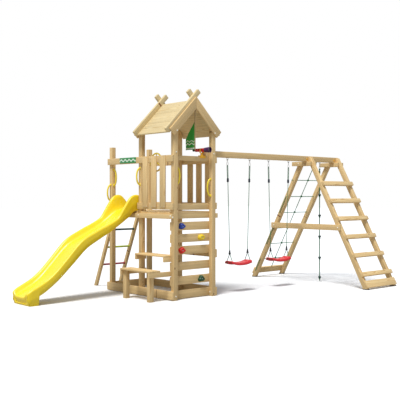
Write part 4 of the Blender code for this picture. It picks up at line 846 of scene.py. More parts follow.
def make_balustrades():
    """A top rail, a low rail and upright slats outside the near and the far posts."""
    near = [BAY / 2 + SLAT_PITCH * index for index in (-1, 0, 1)]
    far = near + [BACK + offset + BOARD_W / 2 for offset in FAR_SLATS]
    for (side, word), centres, low_end in zip(SIDES, (near, far), (BACK, END)):
        node = "balustrade_" + word
        x = side_limits(side, 0.0, BOARD_T)
        board(word + "_top_rail", x, (FRONT, END + 0.015), extent(TOP_RAIL_TOP, -RAIL_W), "y",
              node)
        board(word + "_low_rail", x, (FRONT, low_end), extent(LOW_RAIL_TOP, -RAIL_W), "y", node)
        slat_x = side_limits(side, BOARD_T, SLAT_T)
        for number, centre in enumerate(centres, start=1):
            board(word + "_slat_" + str(number), slat_x, extent(centre - BOARD_W / 2, BOARD_W),
                  (SLAT_BOTTOM, TOP_RAIL_TOP), "z", node)
            SCREWS.extend(((slat_x[1], centre + offset, z), (side, 0, 0))
                          for z in (LOW_RAIL_TOP - 0.055, TOP_RAIL_TOP - 0.030)
                          for offset in (-0.035, 0.035))


def make_rails_and_boards():
    """The cross rails, the boards round the foot, the far side's board and the wall planks."""
    board("front_top_rail", (NEAR, FAR), JOIST_Y, extent(TOP_RAIL_TOP, -JOIST_W), "x",
          "rail_top_front")
    board("front_kick_board", (NEAR, FAR), WALL_Y, KICK_BOARD_Z, "x", "kick_board_front")
    for side, word in SIDES:
        board("base_board_" + word, side_limits(side, 0.0, BOARD_T), (FRONT, END_FACE + BOARD_T),
              BASE_BOARD_Z, "y", "base_boards")
    board("base_board_end", (NEAR - GAP, FAR + GAP), extent(END_FACE, BOARD_T), BASE_BOARD_Z,
          "x", "base_boards")
    board("far_side_board", side_limits(1, 0.0, BOARD_T), (FRONT, BACK), SIDE_BOARD_Z, "y",
          "side_board_far")
    for number, bottom in enumerate(PLANKS, start=1):
        board("wall_plank_" + str(number), (NEAR, FAR), WALL_Y, extent(bottom, BOARD_W), "x",
              "climbing_plank_" + str(number))


def make_deck():
    """Six boards to a bay on bearers and cross pieces, and fillers between the posts."""
    count, seam, edge = 6, 0.002, 0.018
    pitch = (BAY - POST) / count
    x, z, node = (NEAR - edge, FAR + edge), (DECK_BOTTOM, DECK_TOP), "deck"
    bearer_z = (DECK_BOTTOM - JOIST_W, DECK_BOTTOM - UNDER_GAP)
    for row in (0, 1):
        for index in range(count):
            start = row * BAY + POST / 2 + index * pitch + seam
            board("deck_board_" + str(1 + index + count * row), x,
                  extent(start, pitch - 2 * seam), z, "x", node)
            SCREWS.extend(((place, start + offset, DECK_TOP), Z_AXIS)
                          for place in (NEAR + 0.012, FAR - 0.012)
                          for offset in (0.030, pitch - 0.034))
    for side, word in SIDES:
        board("deck_bearer_" + word, side_limits(side, 0.0, JOIST_T), (FRONT, END_FACE + JOIST_T),
              bearer_z, "y", node)
    board("deck_bearer_front", (NEAR, FAR), JOIST_Y, bearer_z, "x", node)
    between = (INNER + GAP, SPAN - INNER - GAP)
    for row, last in ((1, BAY + BOARD_W / 2), (2, END)):
        middle = row * BAY
        board("deck_cross_piece_" + str(row), between, (middle - BOARD_W / 2, last),
              (DECK_BOTTOM - JOIST_T, DECK_BOTTOM - UNDER_GAP), "x", node)
        board("deck_filler_board_" + str(row), between,
              (middle - POST / 2 + seam, middle + POST / 2 - seam), z, "x", node)
    board("deck_end_bearer", (NEAR - GAP, FAR + GAP), extent(END_FACE, JOIST_T),
          extent(DECK_TOP, -RAIL_W), "x", node)


def make_roof():
    """Two slopes of three boards, over bars that pass each other above the ridge."""
    y, width, seam = (FRONT + GAP, BACK - GAP), ROOF_RUN / 3, 0.001
    for side, word in SIDES:
        node = "roof_slope_" + word
        aside = 0.0 if side < 0 else JOIST_T + GAP
        for start, place in ((FRONT, "front"), (BACK - 2 * JOIST_T - GAP, "rear")):
            sloped_board("roof_bar_" + word + "_" + place, side, (-BAR_PAST, BAR_RUN),
                         (0.0, JOIST_W), extent(start + aside, JOIST_T), node, **PALE)
        ridge_board(side, "roof_board_" + word + "_1", width - seam, y, node)
        for number in (2, 3):
            run = ((number - 1) * width + seam, number * width - seam)
            sloped_board("roof_board_" + word + "_" + str(number), side, run, (-ROOF_T, 0.0), y,
                         node, **PALE)


def ridge_board(side, name, run, y, node):
    """The topmost board, whose upper edge is cut plumb at the ridge: its outline as a profile.

    The four corners of the outline are carried along the ridge, with small flats between.
    """
    top, face = roof_point(side, 0.0, 0.0)[1], MIDDLE + side * GAP
    corners = np.array([roof_point(side, run, 0.0), roof_point(side, run, -ROOF_T),
                        (face, top - ROOF_T / math.cos(ROOF_PITCH) - GAP), (face, top - GAP)])
    corners = corners[::side]
    before = corners + 0.0025 * unit(np.roll(corners, 1, 0) - corners)
    after = corners + 0.0025 * unit(np.roll(corners, -1, 0) - corners)
    outline = np.stack([before, corners * 0.6 + (before + after) * 0.2, after], 1).reshape(-1, 2)
    inward = unit(corners.mean(0) - outline) * 0.0015
    ends = []
    for depth, inset in ((y[0], 1), (y[0] + 0.002, 0), (y[1] - 0.002, 0), (y[1], 1)):
        ring = outline + inward * inset
        ends.append(np.stack([ring[:, 0], np.full(len(ring), depth), ring[:, 1]], 1))
    points = np.concatenate(ends)
    along, out = roof_directions(side)
    log = np.array([CHANCE.uniform(0, 60), CHANCE.uniform(-0.04, 0.04), 0.05])
    grain = np.stack([points[:, 1], points @ along, points @ out], 1)
    turn_outwards(put(name, [(points, capped_faces(4, len(outline)))], ROOF_PINE,
                      node=node, grain=grain - grain.mean(0) + log,
                      tone=CHANCE.uniform(0.97, 1.04)))


def make_gables():
    """A pair of boards in front of the roof and one behind, cut plumb where they meet."""
    for start, place, out in ((FRONT - GAP - BOARD_T, "front", -1), (BACK + GAP, "rear", 1)):
        y = extent(start, BOARD_T)
        for side, word in SIDES:
            cut = ((MIDDLE + side * 2 * GAP, 0.0, 0.0), (-side, 0.0, 0.0))
            sloped_board("gable_" + place + "_" + word, side, (-BOARD_W, GABLE_RUN),
                         (GABLE_LIFT - BOARD_W, GABLE_LIFT), y, "gable_" + place, (cut,))
        CAPS.extend(((x, y[max(out, 0)], GABLE_CAP_Z), (0, out, 0)) for x in (0.0, SPAN))


def make_bench_and_table():
    """Two boards each for the seat and the table, on arms from the posts and two legs."""
    y = (INNER + GAP, BAY - POST / 2 - GAP)
    bench_x, table_x = NEAR - 0.390, NEAR - 0.125
    bench_under, table_under = BENCH_TOP - BENCH_T, TABLE_TOP - TABLE_T
    for number in (1, 2):
        board("bench_seat_board_" + str(number), extent(bench_x + (number - 1) * 0.1015, 0.0985),
              y, (bench_under, BENCH_TOP), "y", "bench", corner=0.004)
        board("table_board_" + str(number), extent(table_x + (number - 1) * 0.1065, 0.1035), y,
              (table_under, TABLE_TOP), "y", "table", corner=0.004)
    for face, inward, word in ((y[0], 1, "front"), (y[1], -1, "rear")):
        arm_y = extent(face, inward * BOARD_T)
        board("bench_arm_" + word, (bench_x, NEAR + POST), arm_y, extent(bench_under, -JOIST_W),
              "x", "bench")
        board("table_arm_" + word, (table_x + 0.002, NEAR + POST), arm_y,
              extent(table_under, -JOIST_W), "x", "table")
        board("bench_leg_" + word, extent(bench_x + 0.035, POST), extent(arm_y[1], inward * POST),
              (0.0, bench_under), "z", "bench", corner=0.004)
        SCREWS.extend(((bench_x + offset, face + inward * 0.014, BENCH_TOP), Z_AXIS)
                      for offset in (0.030, 0.160))


def ladder_line(z):
    """Y of the ladder's lower edge at a height."""
    return END + LADDER_FOOT - LADDER_LEAN * z


def make_ladder():
    """Two leaning stiles, cut level at both ends and plumb at the deck, and three rungs.

    A rung is a tube whose radius follows a small cosine wave along it, with a flange at
    each end.
    """
    lean = unit((0.0, -LADDER_LEAN, 1.0))
    out = np.array((0.0, lean[2], -lean[1]))
    start = np.array((0.0, ladder_line(0.0), 0.0)) + out * STILE_W / 2 - lean * STILE_W
    end = (np.array((0.0, ladder_line(DECK_TOP), DECK_TOP)) + out * STILE_W / 2
           + lean * STILE_W)
    cuts = (((0, 0, 0), (0, 0, -1)), ((0, 0, DECK_TOP), Z_AXIS),
            ((0, END + JOIST_T + 2 * GAP, 0), (0, -1, 0)))
    for middle, word in ((STILE_IN + STILE_T / 2, "near"),
                         (SPAN - STILE_IN - STILE_T / 2, "far")):
        place = np.array((middle, 0, 0))
        timber("ladder_" + word + "_stile", start + place, end + place, X_AXIS, STILE_T, STILE_W,
               "ladder_stile_" + word, cuts, splits=10)
    low, high = STILE_IN + STILE_T + GAP, SPAN - STILE_IN - STILE_T - GAP
    along = np.linspace(low, high, 61)[1:-1]
    grips = 0.0006 * np.cos((along - low) / (high - low) * 26 * FULL_TURN)
    flange = ((0.004, 0.0), (0.0205, 0.0), (0.0215, 0.002), (0.0205, 0.005),
              (RUNG_RADIUS, 0.008), (0.004, 0.009))
    for word, finish, slot, z in (("red", RUNG_RED, "red_plastic", RUNG_HEIGHTS[0]),
                                  ("lime", LIME, "lime_plastic", RUNG_HEIGHTS[1]),
                                  ("green", DARK_GREEN, "green_plastic", RUNG_HEIGHTS[2])):
        y = ladder_line(z) + STILE_W / 2 / lean[2]
        path = np.stack([along, np.full(len(along), y), np.full(len(along), z)], 1)
        surfaces = [tube_surface(path, RUNG_RADIUS - 0.0008 + grips, 24)]
        surfaces += [turned_surface(flange, (place, y, z), (way, 0, 0))
                     for place, way in ((low, 1), (high, -1))]
        put("ladder_rung_" + word + "_tube", surfaces, finish, node="ladder_rung_" + word)


def cross_board(name, hand, height, width, thickness, node):
    """A board across a pair of legs, flat on their outer faces, with two screws to a leg."""
    along, outward = leg_directions(hand)
    middle = (np.array((0, leg_line(hand, height), height))
              + outward * (thickness / 2 + UNDER_GAP))
    timber(name, middle + (FRAME_X[0], 0, 0), middle + (FRAME_X[1] + LEG, 0, 0), along, width,
           thickness, node)
    for x in FRAME_X:
        for lift in (-width / 4, width / 4):
            place = middle + (x + LEG / 2, 0, 0) + along * lift + outward * thickness / 2
            SCREWS.append((tuple(place), tuple(outward)))


def make_frame():
    """The stair and net legs, their boards, the collars under the beam and the brace.

    The legs are cut level at the floor and at the top, and each has a thin black band round its
    foot: painted contact shade where it meets the floor.
    """
    for hand, word, node, top, foot_z, cuts in (
            (-1, "stair", "stair", 2.140, 0.024, (((0, BEAM_Y - BEAM / 2 - GAP, 0), (0, 1, 0)),)),
            (1, "net", "net_frame", BEAM_Z - GAP, NET_BOARD_Z, ())):
        along, outward = leg_directions(hand)
        start = np.array((0, leg_line(hand, 0.0), 0)) - outward * LEG / 2 - along * LEG
        end = np.array((0, leg_line(hand, top), top)) - outward * LEG / 2 + along * LEG
        level = (((0, 0, 0), (0, 0, -1)), ((0, 0, top), Z_AXIS))
        # A thin black band some 14 mm high round each foot is painted contact shade where the leg
        # meets the floor
        painted_foot_shade = (((0, 0, 0.0005), (0, 0, -1)), ((0, 0, 0.014), Z_AXIS))
        for x, side in zip(FRAME_X, ("near", "far")):
            place = np.array((x + LEG / 2, 0, 0))
            timber(word + "_leg_" + side, start + place, end + place, X_AXIS, LEG, LEG, node,
                   level + cuts, corner=0.004, splits=10)
            timber(word + "_shoe_" + side, start + place, end + place, X_AXIS, LEG + 0.002,
                   LEG + 0.002, node, painted_foot_shade, corner=0.004, splits=10, wood=BLACK,
                   slot="black_plastic")
        cross_board(word + "_foot_board", hand, foot_z + BOARD_W / 2 * along[2], BOARD_W,
                    BOARD_T, node)
    for index in range(6):
        cross_board("stair_tread_" + str(index + 1), -1, 0.225 + 0.290 * index, JOIST_W,
                    JOIST_T, "stair")
    for x, side in zip(FRAME_X, ("near", "far")):
        for start, where in ((x - GAP - JOIST_T, "outer"), (x + LEG + GAP, "inner")):
            board("collar_" + side + "_" + where, extent(start, JOIST_T), COLLAR_Y,
                  extent(BEAM_Z - GAP, -JOIST_W), "y", "net_frame")
    board("frame_brace", extent(FRAME_X[0] - GAP, -BOARD_T), (-0.645, 0.865), BRACE_Z, "y",
          "net_frame")
    board("top_beam", (BEAM_START, BEAM_END), extent(BEAM_Y - BEAM / 2, BEAM),
          extent(BEAM_Z, BEAM), "x", "swing_beam", corner=0.005)


def make_staples():
    """Under the beam a round plate at each hook, with a bent steel staple."""
    plate = ((0.002, -0.004), (0.0225, -0.004), (0.024, -0.0028), (0.024, -0.0002),
             (0.002, -0.0002))
    half = ((0.014, BEAM_Z - 0.002), (0.014, HINGE_Z + 0.007), (0.012, HINGE_Z + 0.002),
            (0.007, HINGE_Z))
    bent = [(-out, z) for out, z in half] + list(half[::-1])
    hooks = [centre + hand * HOOK_HALF for centre in SWING_XS for hand in (-1, 1)]
    surfaces = []
    for x in (*hooks, KNOB_ROPE_X):
        path = smooth_path([(x + out, BEAM_Y, z) for out, z in bent], 40)
        surfaces += [turned_surface(plate, (x, BEAM_Y, BEAM_Z), Z_AXIS, 28),
                     tube_surface(path, 0.004, 12)]
    put("beam_staples", surfaces, STEEL, node="swing_beam")


def slide_sections(reach):
    """Half sections of the slide, one row for each reach: the skirt, the lip and the bed.

    Heights of the lip, of the bed and of the skirt's edge are smooth curves of the reach, and
    the fifteen places of a section are set off from them.
    """
    # The lip stands up in a rounded horn beside the posts
    rim = smooth_value(((-0.150, 1.362), (-0.095, 1.428), (-0.040, 1.477), (0.010, 1.493),
                        (0.070, 1.484), (0.136, 1.440), (0.245, 1.290), (0.355, 1.146),
                        (0.708, 0.975), (0.962, 0.838), (1.209, 0.590), (1.369, 0.429),
                        (1.525, 0.314), (1.815, 0.170)), reach)
    bed = smooth_value(((-0.150, 1.266), (0.030, 1.264), (0.136, 1.222), (0.355, 1.062),
                        (0.708, 0.888), (0.962, 0.752), (1.209, 0.510), (1.369, 0.350),
                        (1.525, 0.238), (1.815, 0.102)), reach)
    under = smooth_value(((-0.150, 1.2536), (0.060, 1.2536), (0.160, 1.168), (0.464, 0.971),
                          (0.688, 0.850), (0.890, 0.731), (1.102, 0.533), (1.340, 0.316),
                          (1.525, 0.182), (1.620, 0.130)), reach)
    # The skirt drops to the ground within one step, as a moulded foot does
    under = np.where(reach > 1.625, 0.0, under)
    under += np.maximum(reach - SLIDE_REACH + SLIDE_FOOT_BACK, 0) / SLIDE_FOOT_BACK * bed
    # The foot draws in and its lip sinks over the last hand's breadth, on a quarter circle
    close = np.clip((reach - 1.715) / 0.090, 0, 1)
    drawn = 1 - np.sqrt(1 - close ** 2 * 0.96)
    rim = rim - 0.030 * drawn
    half = 0.250 - 0.032 * np.maximum(reach, 0) / SLIDE_REACH - 0.030 * drawn
    inner = half - 0.040
    wall = rim - bed
    places = ((half, under), (half - 0.001, (under + rim) / 2), (half, rim - 0.030),
              (half, rim - 0.014), (half - 0.004, rim - 0.004), (half - 0.013, rim),
              (inner + 0.010, rim - 0.002), (inner + 0.002, rim - 0.010),
              (inner - 0.008, rim - 0.012 - wall * 0.20), (inner - 0.018, bed + wall * 0.42),
              (inner - 0.030, bed + wall * 0.22), (inner - 0.046, bed + wall * 0.075),
              (inner - 0.066, bed + 0.002), (inner - 0.110, bed - 0.001),
              (0 * half, bed - 0.0015))
    return np.array(places).transpose(1, 2, 0)


def make_slide():
    """The wave slide: its section carried down a smooth wave, with a wall of 5 mm.

    The last rows go down the end wall, at shares of its height. They bulge a little under
    the lip, and a panel is pressed 12 mm into their middle.
    """
    reach = np.linspace(SLIDE_START, SLIDE_REACH - 0.022, 150)
    y, z = slide_sections(reach)
    y = np.concatenate([y, -y[:, -2::-1]], 1)
    z = np.concatenate([z, z[:, -2::-1]], 1)
    x = np.broadcast_to(NEAR - reach[:, None], y.shape)
    rows = np.stack([x, SLIDE_Y + y, z], -1)
    foot = rows[-1].copy()
    foot[:, 2] = 0.0025
    foot[:, 0] = NEAR - SLIDE_REACH + SLIDE_FOOT_BACK
    foot[[0, -1], 0] += 0.006
    share, bulge, pressed = np.array(((0.03, 6, 0), (0.10, 8, 0), (0.24, 8, 0), (0.30, 8, 12),
                                      (0.76, 7, 12), (0.82, 6, 0), (0.97, 0, 0))).T[..., None]
    column = np.arange(y.shape[1])
    ease = np.minimum(np.minimum(column, column[::-1]), 4) / 4
    within = np.abs(y[-1]) < np.abs(y[-1]).max() - 0.046
    wall = rows[-1] + (foot - rows[-1]) * share[..., None]
    wall[..., 0] += (pressed * within - bulge * ease) * 0.001
    rows = np.concatenate([rows, wall, foot[None]])
    surface = (rows.reshape(-1, 3), grid_faces(len(rows), rows.shape[1], False))
    thicken(put("wave_slide", [surface], SLIDE_YELLOW, node="slide", sharp=48),
            0.005)


def make_handles():
    """Five bowed handles: half an oval of tube on two flanges, each with its screws.

    The tube thins towards its ends by the sixth power of the share of its length.
    """
    half, reach, sunk = 0.1225, 0.0625, 0.004
    flange = ((0.003, GAP), (0.0208, GAP), (0.0210, 0.0015), (0.0205, 0.0045),
              (0.0180, 0.0062), (0.003, 0.0066))
    up = np.array((0.0, 0.0, 1.0))
    for name, foot, out in (("front_near", (NEAR + POST, 0.0, 1.768), (1, 0, 0)),
                            ("front_far", (FAR - POST, 0.0, 1.604), (-1, 0, 0)),
                            ("mid_near", (NEAR, BAY, 1.770), (-1, 0, 0)),
                            ("end_near", (NEAR, 2 * BAY, 1.530), (-1, 0, 0)),
                            ("end_inner", (0.0, END - POST, 1.768), (0, -1, 0))):
        foot, out = np.array(foot), np.array(out, float)
        path = arc(foot + out * sunk, out * (reach - sunk), up * half, -math.pi / 2,
                   math.pi / 2, 44)
        radius = 0.0125 - 0.0012 * np.abs(np.linspace(-1, 1, len(path))) ** 6
        surfaces = [tube_surface(path, radius, 22)]
        for height in (-half, half):
            middle = foot + up * height
            surfaces.append(turned_surface(flange, middle, out))
            for aside in (-0.0165, 0.0165):
                screw = middle + np.cross(up, out) * aside + out * 0.0058
                SCREWS.append((tuple(screw), tuple(out)))
        put("handle_" + name + "_grip", surfaces, YELLOW,
            node="handle_" + name)


def make_steering_wheel():
    """A wheel on its axle: a hub, three spokes and a rim with 24 finger grips.

    A spoke bows out on a sine and is thicker at its ends by the square of the place along it,
    and the rim's radius follows a cosine of its angle.
    """
    face = np.array((NEAR, 0.441, 1.972))
    centre = face + (0.055, 0, 0)
    axle = ((0.002, GAP), (0.027, GAP), (0.028, 0.0012), (0.0275, 0.005), (0.024, 0.006),
            (0.010, 0.006), (0.010, 0.0694), (0.0165, 0.0694), (0.017, 0.0705),
            (0.0160, 0.0744), (0.012, 0.0754), (0.002, 0.0754))
    put("wheel_axle_cap", [turned_surface(axle, face, X_AXIS, 28)], BLACK,
        node="wheel_axle")
    hub = ((0.0106, -0.014), (0.026, -0.014), (0.028, -0.012), (0.028, 0.010),
           (0.025, 0.0135), (0.0106, 0.014))
    surfaces = [turned_surface(hub, centre, X_AXIS, 30)]
    first, length = 0.018, 0.108
    reach = np.linspace(first, first + length, 12)[:, None]
    bow = 0.004 * np.sin((reach - first) / length * math.pi) * X_AXIS
    width = 0.0085 + 0.0022 * (2 * (reach[:, 0] - first) / length - 1) ** 2
    for spoke in oval((0, 0, 0), (0, 0, 1), (0, -1, 0), 3):
        surfaces.append(tube_surface(centre + reach * spoke + bow, width * 0.82, 14))
    rim = oval(centre, (0, 0.130, 0), (0, 0, 0.130), 96)
    grips = 0.0006 * np.cos(np.linspace(0, 24 * FULL_TURN, 96, endpoint=False))
    surfaces.append(tube_surface(rim, 0.0119 + grips, 16, True))
    put("steering_wheel_rim", surfaces, YELLOW, "steering_wheel",
        "steering_wheel")


def make_holds():
    """Four climbing holds: a mound whose outline swells with the angle, dished at its bolt.

    The radius at an angle is the base plus cosines of a few times that angle, and the height
    falls from the dish over a crest to the board.
    """
    rows, sides, high, dished = 22, 64, 0.046, 0.34
    left, right = 0.160, 0.532
    bolt = ((0.001, -0.002), (0.0072, -0.002), (0.0072, 0.005), (0.0068, 0.0066),
            (0.004, 0.0065), (0.0035, 0.0035), (0.001, 0.0035))
    angle = np.linspace(0, FULL_TURN, sides, endpoint=False)
    share = np.linspace(0.06, 1.0, rows)[:, None]
    bolts = []
    # The colour, place and plank, then the large lobes and the small ripples
    for word, finish, x, plank, (lobes, swell, turn), (small, ripple) in (
            ("blue", BLUE, left, 5, (3, 0.10, 0.4), (5, 0.05)),
            ("yellow", HOLD_YELLOW, right, 4, (2, 0.06, 0.1), (5, 0.03)),
            ("red", HOLD_RED, left, 3, (4, 0.08, 0.8), (3, 0.04)),
            ("green", HOLD_GREEN, right, 1, (3, 0.15, 1.4), (6, 0.04))):
        outline = 1 + swell * np.cos(lobes * angle + turn) + ripple * np.cos(small * angle)
        radial = share ** 0.8 * outline / outline.max()
        mound = (1 - share ** 3.4) ** 0.62 - dished * np.exp(-(share / 0.24) ** 2)
        facet = 1 - 0.07 * np.cos(lobes * angle + turn + 2.0) * share
        height = np.clip(mound * facet, 0, 1) * high
        z = PLANKS[plank] + BOARD_W / 2
        points = np.stack([x + 0.064 * radial * np.cos(angle), INNER - height,
                           z + 0.0515 * radial * np.sin(angle)], -1)
        surface = (points.reshape(-1, 3), capped_faces(rows, sides))
        turn_outwards(put("hold_" + word + "_grip", [surface], finish,
                          node="hold_" + word, sharp=60))
        bolts.append(turned_surface(bolt, (x, INNER - (1 - dished) * high + 0.002, z),
                                    (0, -1, 0), 18))
    put("hold_bolts", bolts, STEEL)


def make_sign():
    """The plain green panel on the near top rail."""
    x = sum(side_limits(-1, BOARD_T + GAP, SIGN_T)) / 2
    panel = bar_surface((x, SIGN_Y[0], SIGN_MIDDLE_Z), (x, SIGN_Y[1], SIGN_MIDDLE_Z), X_AXIS,
                        SIGN_T, SIGN_H, splits=4)
    put("sign_board", [panel], SIGN, node="sign_panel")


def make_flag():
    """The flag on its staff, from the rail to the ridge: a cloth with a sloped upper edge.

    A point's height is a share of the edge's height there. The cloth sways aside by a sine of
    the place across it, which grows to the free edge and fades to the top, and by slow waves.
    """
    y = FRONT + GAP + STAFF_RADIUS
    top = RIDGE - ROOF_T / math.cos(ROOF_PITCH) - STAFF_RADIUS - GAP
    path = np.linspace((MIDDLE, y, STAFF_BOTTOM), (MIDDLE, y, top - 0.0075), 12)
    put("flag_staff", [tube_surface(path, STAFF_RADIUS - 0.0001, 20)], SAND,
        node="flag_pole")
    high = FLAG_TIP - FLAG_BOTTOM
    rows, columns = 44, 28
    across = np.linspace(0, 1, columns)
    rise = np.linspace(0, 1, rows)[:, None]
    up = high * (1 + (FLAG_SHOULDER - 1) * across) * rise
    sway = 0.0055 * np.sin(across * 7.5 + 0.6) * across ** 0.7 * (1.15 - 0.55 * rise)
    x = MIDDLE + sway + 0.0015 * np.sin(rise * 9.0 + across * 5.0) * across
    out = np.broadcast_to(FLAG_W * across, up.shape)
    points = np.stack([x, y + STAFF_RADIUS + GAP + out * 0.998, FLAG_BOTTOM + up], -1)
    faces = grid_faces(rows, columns, False)
    flat_map = np.stack([out, up], -1).reshape(-1, 2)[faces.ravel()]
    cloth = put("flag_cloth", [(points.reshape(-1, 3), faces, flat_map)], CLOTH,
                node="flag", mapped=True)
    thicken(cloth, 0.0008, 0.0)
    hem_piece = put("flag_hem", [tube_surface(points[0] + (0, 0, 0.003), 0.0028, 8)], DARK_GREEN)


def make_telescope():
    """A saddle on the rail, a yoke that turns on it, and a tube that tilts in the yoke."""
    aim, x, y = math.radians(12.8), 0.565, sum(JOIST_Y) / 2
    pivot = np.array((x, y, 2.155))
    forward = np.array((math.sin(aim), -math.cos(aim), 0.0))
    across = np.array((math.cos(aim), math.sin(aim), 0.0))
    half, plate_t, apron_t = 0.0525, 0.014, 0.010
    plate_y = (INNER - apron_t + JOIST_Y[1] + GAP) / 2
    plate_z, apron_z = TOP_RAIL_TOP + GAP + plate_t / 2, TOP_RAIL_TOP - 0.008
    plate = bar_surface((x - half, plate_y, plate_z), (x + half, plate_y, plate_z), (0, 1, 0),
                        JOIST_T + 2 * GAP + apron_t, plate_t, corner=0.004)
    apron = bar_surface((x - half, INNER - apron_t / 2, apron_z),
                        (x + half, INNER - apron_t / 2, apron_z), (0, 1, 0), apron_t, 0.034)
    stand = turned_surface(((0.003, -0.006), (0.024, -0.006), (0.0235, 0.0), (0.0205, 0.006),
                            (0.0180, 0.018), (0.0172, 0.0335), (0.003, 0.0337)),
                           (x, y, plate_z + plate_t / 2), Z_AXIS, 32)
    put("telescope_saddle", [plate, apron, stand], ORANGE,
        node="telescope_base")
    low = np.array((x, y, 2.108 + GAP + 0.0035))
    surfaces = [bar_surface(low - across * 0.039, low + across * 0.039, forward, 0.022, 0.007,
                            corner=0.002)]
    for hand in (-1, 1):
        aside = across * hand * 0.0355
        surfaces.append(bar_surface(low + aside, pivot + aside + (0, 0, 0.013), across, 0.0068,
                                    0.0216, corner=0.0026))
    put("telescope_fork", surfaces, ORANGE, "telescope_yoke",
        "telescope_yoke")
    eye = ((0.008, -0.150), (0.0135, -0.155), (0.0172, -0.1535), (0.0175, -0.150),
           (0.0165, -0.140), (0.0165, -0.1055), (0.008, -0.1045))
    barrel = ((0.008, -0.1045), (0.0235, -0.1050), (0.0250, -0.1030), (0.0252, -0.092),
              (0.0240, -0.0905), (0.0245, -0.060), (0.0268, 0.0), (0.0290, 0.058),
              (0.0290, 0.0600), (0.010, 0.0602))
    hood = ((0.020, 0.060), (0.0325, 0.0602), (0.0335, 0.062), (0.0340, 0.072),
            (0.0352, 0.0735), (0.0378, 0.110), (0.0420, 0.150), (0.0425, 0.1535),
            (0.0415, 0.155), (0.0390, 0.155), (0.0378, 0.150), (0.0350, 0.136),
            (0.020, 0.1355))
    glass = ((0.002, 0.1350), (0.0345, 0.1350), (0.0345, 0.1358), (0.020, 0.1366),
             (0.002, 0.1372))
    for word, profile, finish, slot, sides in (
            ("eyepiece", eye, BLACK, "red_plastic", 40),
            ("barrel", barrel, RED, "red_plastic", 40),
            ("hood", hood, PURPLE, "red_plastic", 40),
            ("glass", glass, GLASS, "black_plastic", 32)):
        put("telescope_" + word, [turned_surface(profile, pivot, forward, sides)], finish,
            "telescope_tube", "telescope_tube")
    pin = ((0.001, 0.026), (0.0049, 0.026), (0.0049, 0.0398), (0.0044, 0.0428),
           (0.001, 0.0429))
    put("telescope_pins", [turned_surface(pin, pivot, across * hand, 18) for hand in (-1, 1)],
        BLACK, "telescope_tube", "telescope_tube")


def make_small_metal():
    """Bolt caps, washers and screw heads, each a low turned dome on its face."""
    bearer_face, far_face = NEAR - GAP - JOIST_T, FAR + GAP + JOIST_T
    CAPS.extend(((bearer_face, y, 1.196), (-1, 0, 0)) for y in (0.748, -0.006, 2 * BAY))
    CAPS.extend(((x, FRONT, z), (0, -1, 0))
                for x, z in ((-0.060, 1.178), (0.004, 2.104), (SPAN, 2.104)))
    CAPS.append(((0.692, 0.014, 0.060), (-1, 0, 0)))
    CAPS.append(((0.0, FRONT, 0.060), (0, -1, 0)))
    CAPS.extend(((far_face, y, 1.190), X_AXIS) for y in (0.0, BAY, 2 * BAY))
    for hand, x, z in ((-1, FRAME_X[0] - GAP - BOARD_T, sum(BRACE_Z) / 2),
                       (1, FRAME_X[0] - GAP - BOARD_T, sum(BRACE_Z) / 2),
                       (1, FRAME_X[0] - GAP - JOIST_T, COLLAR_CAP_Z)):
        y = leg_line(hand, z) - hand * LEG / 2 / leg_directions(hand)[0][2]
        CAPS.append(((x, y, z), (-1, 0, 0)))
    washers = [((x, BEAM_Y + out * BEAM / 2, z), (0, out, 0))
               for out in (-1, 1) for x, z in ((2.933, 2.101), (3.665, 2.100))]
    SCREWS.extend(((x, WALL_Y[1], bottom + lift), (0, 1, 0))
                  for bottom in PLANKS for x in (0.0, SPAN) for lift in (0.030, 0.090))
    cap = ((0.001, 0.0002), (0.0110, 0.0002), (0.0106, 0.0026), (0.0085, 0.0048),
           (0.0050, 0.0060), (0.001, 0.0062))
    washer = ((0.001, 0.0002), (0.0155, 0.0002), (0.0150, 0.0028), (0.0080, 0.0030),
              (0.0075, 0.0072), (0.001, 0.0075))
    head = ((0.0008, 0.0001), (0.0046, 0.0001), (0.0042, 0.0008), (0.0030, 0.0013),
            (0.0008, 0.0006))
    for name, profile, sides, places, finish in (("bolt_caps", cap, 20, CAPS, WHITE_CAP),
                                                 ("beam_washers", washer, 20, washers, ORANGE),
                                                 ("screw_heads", head, 10, SCREWS, STEEL)):
        put(name, [turned_surface(profile, place, way, sides) for place, way in places], finish)


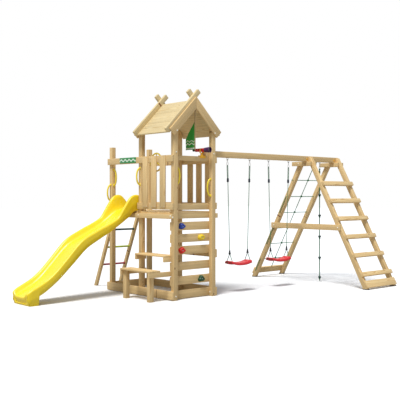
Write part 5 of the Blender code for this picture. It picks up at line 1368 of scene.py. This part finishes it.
def make_stage():
    """A plain pale floor that keeps the shadows, a white surround and a soft key light.

    Camera rays see a near white floor and a white surround. Gloss and glass see the white
    surround too, and the object is lit by a dimmer, cooler one.
    """
    size = 60.0
    mesh = bpy.data.meshes.new("floor")
    mesh.from_pydata([(-size, -size, 0), (size, -size, 0), (size, size, 0), (-size, size, 0)],
                     [], [(0, 1, 2, 3)])
    floor = bpy.data.objects.new("floor", mesh)
    bpy.context.scene.collection.objects.link(floor)
    material, tree, shader = new_material("pale_floor", Roughness=0.95, Specular_IOR_Level=0.0)
    seen = add(tree, "LightPath", out="Is Camera Ray")
    pale = add(tree, "Mix", {"Factor": seen, "A": linear("#BCBBB8"), "B": linear("#F7F7F7")},
               "Result", data_type="RGBA")
    feed(shader, Base_Color=pale)
    mesh.materials.append(material)

    world = bpy.data.worlds.new("studio")
    world.use_nodes = True
    bpy.context.scene.world = world
    tree = world.node_tree
    rays = add(tree, "LightPath").node.outputs
    seen = add(tree, "Math", [rays["Is Camera Ray"], rays["Is Glossy Ray"]],
               operation="MAXIMUM")
    seen = add(tree, "Math", [seen, rays["Is Transmission Ray"]], operation="MAXIMUM")
    level = add(tree, "MapRange", {"Value": seen, "To Min": 0.43, "To Max": 1.0})
    sky = add(tree, "Mix", {"Factor": seen, "A": linear("#EDF4FF"), "B": linear("#FFFFFF")},
              "Result", data_type="RGBA")
    feed(tree.nodes["Background"], Color=sky, Strength=level)

    key = bpy.data.lights.new("soft_key", "SUN")
    key.energy = 3.05
    key.angle = math.radians(18)
    lamp = bpy.data.objects.new("soft_key", key)
    lamp.rotation_euler = Vector((0.42, 0.17, -1.0)).to_track_quat("-Z", "Y").to_euler()
    bpy.context.scene.collection.objects.link(lamp)
    bpy.context.scene.view_settings.view_transform = "Standard"


make_posts()
make_balustrades()
make_rails_and_boards()
make_deck()
make_roof()
make_gables()
make_bench_and_table()
make_ladder()
make_frame()
make_staples()
make_slide()
make_handles()
make_steering_wheel()
make_holds()
make_sign()
make_flag()
make_telescope()
make_small_metal()
make_stage()
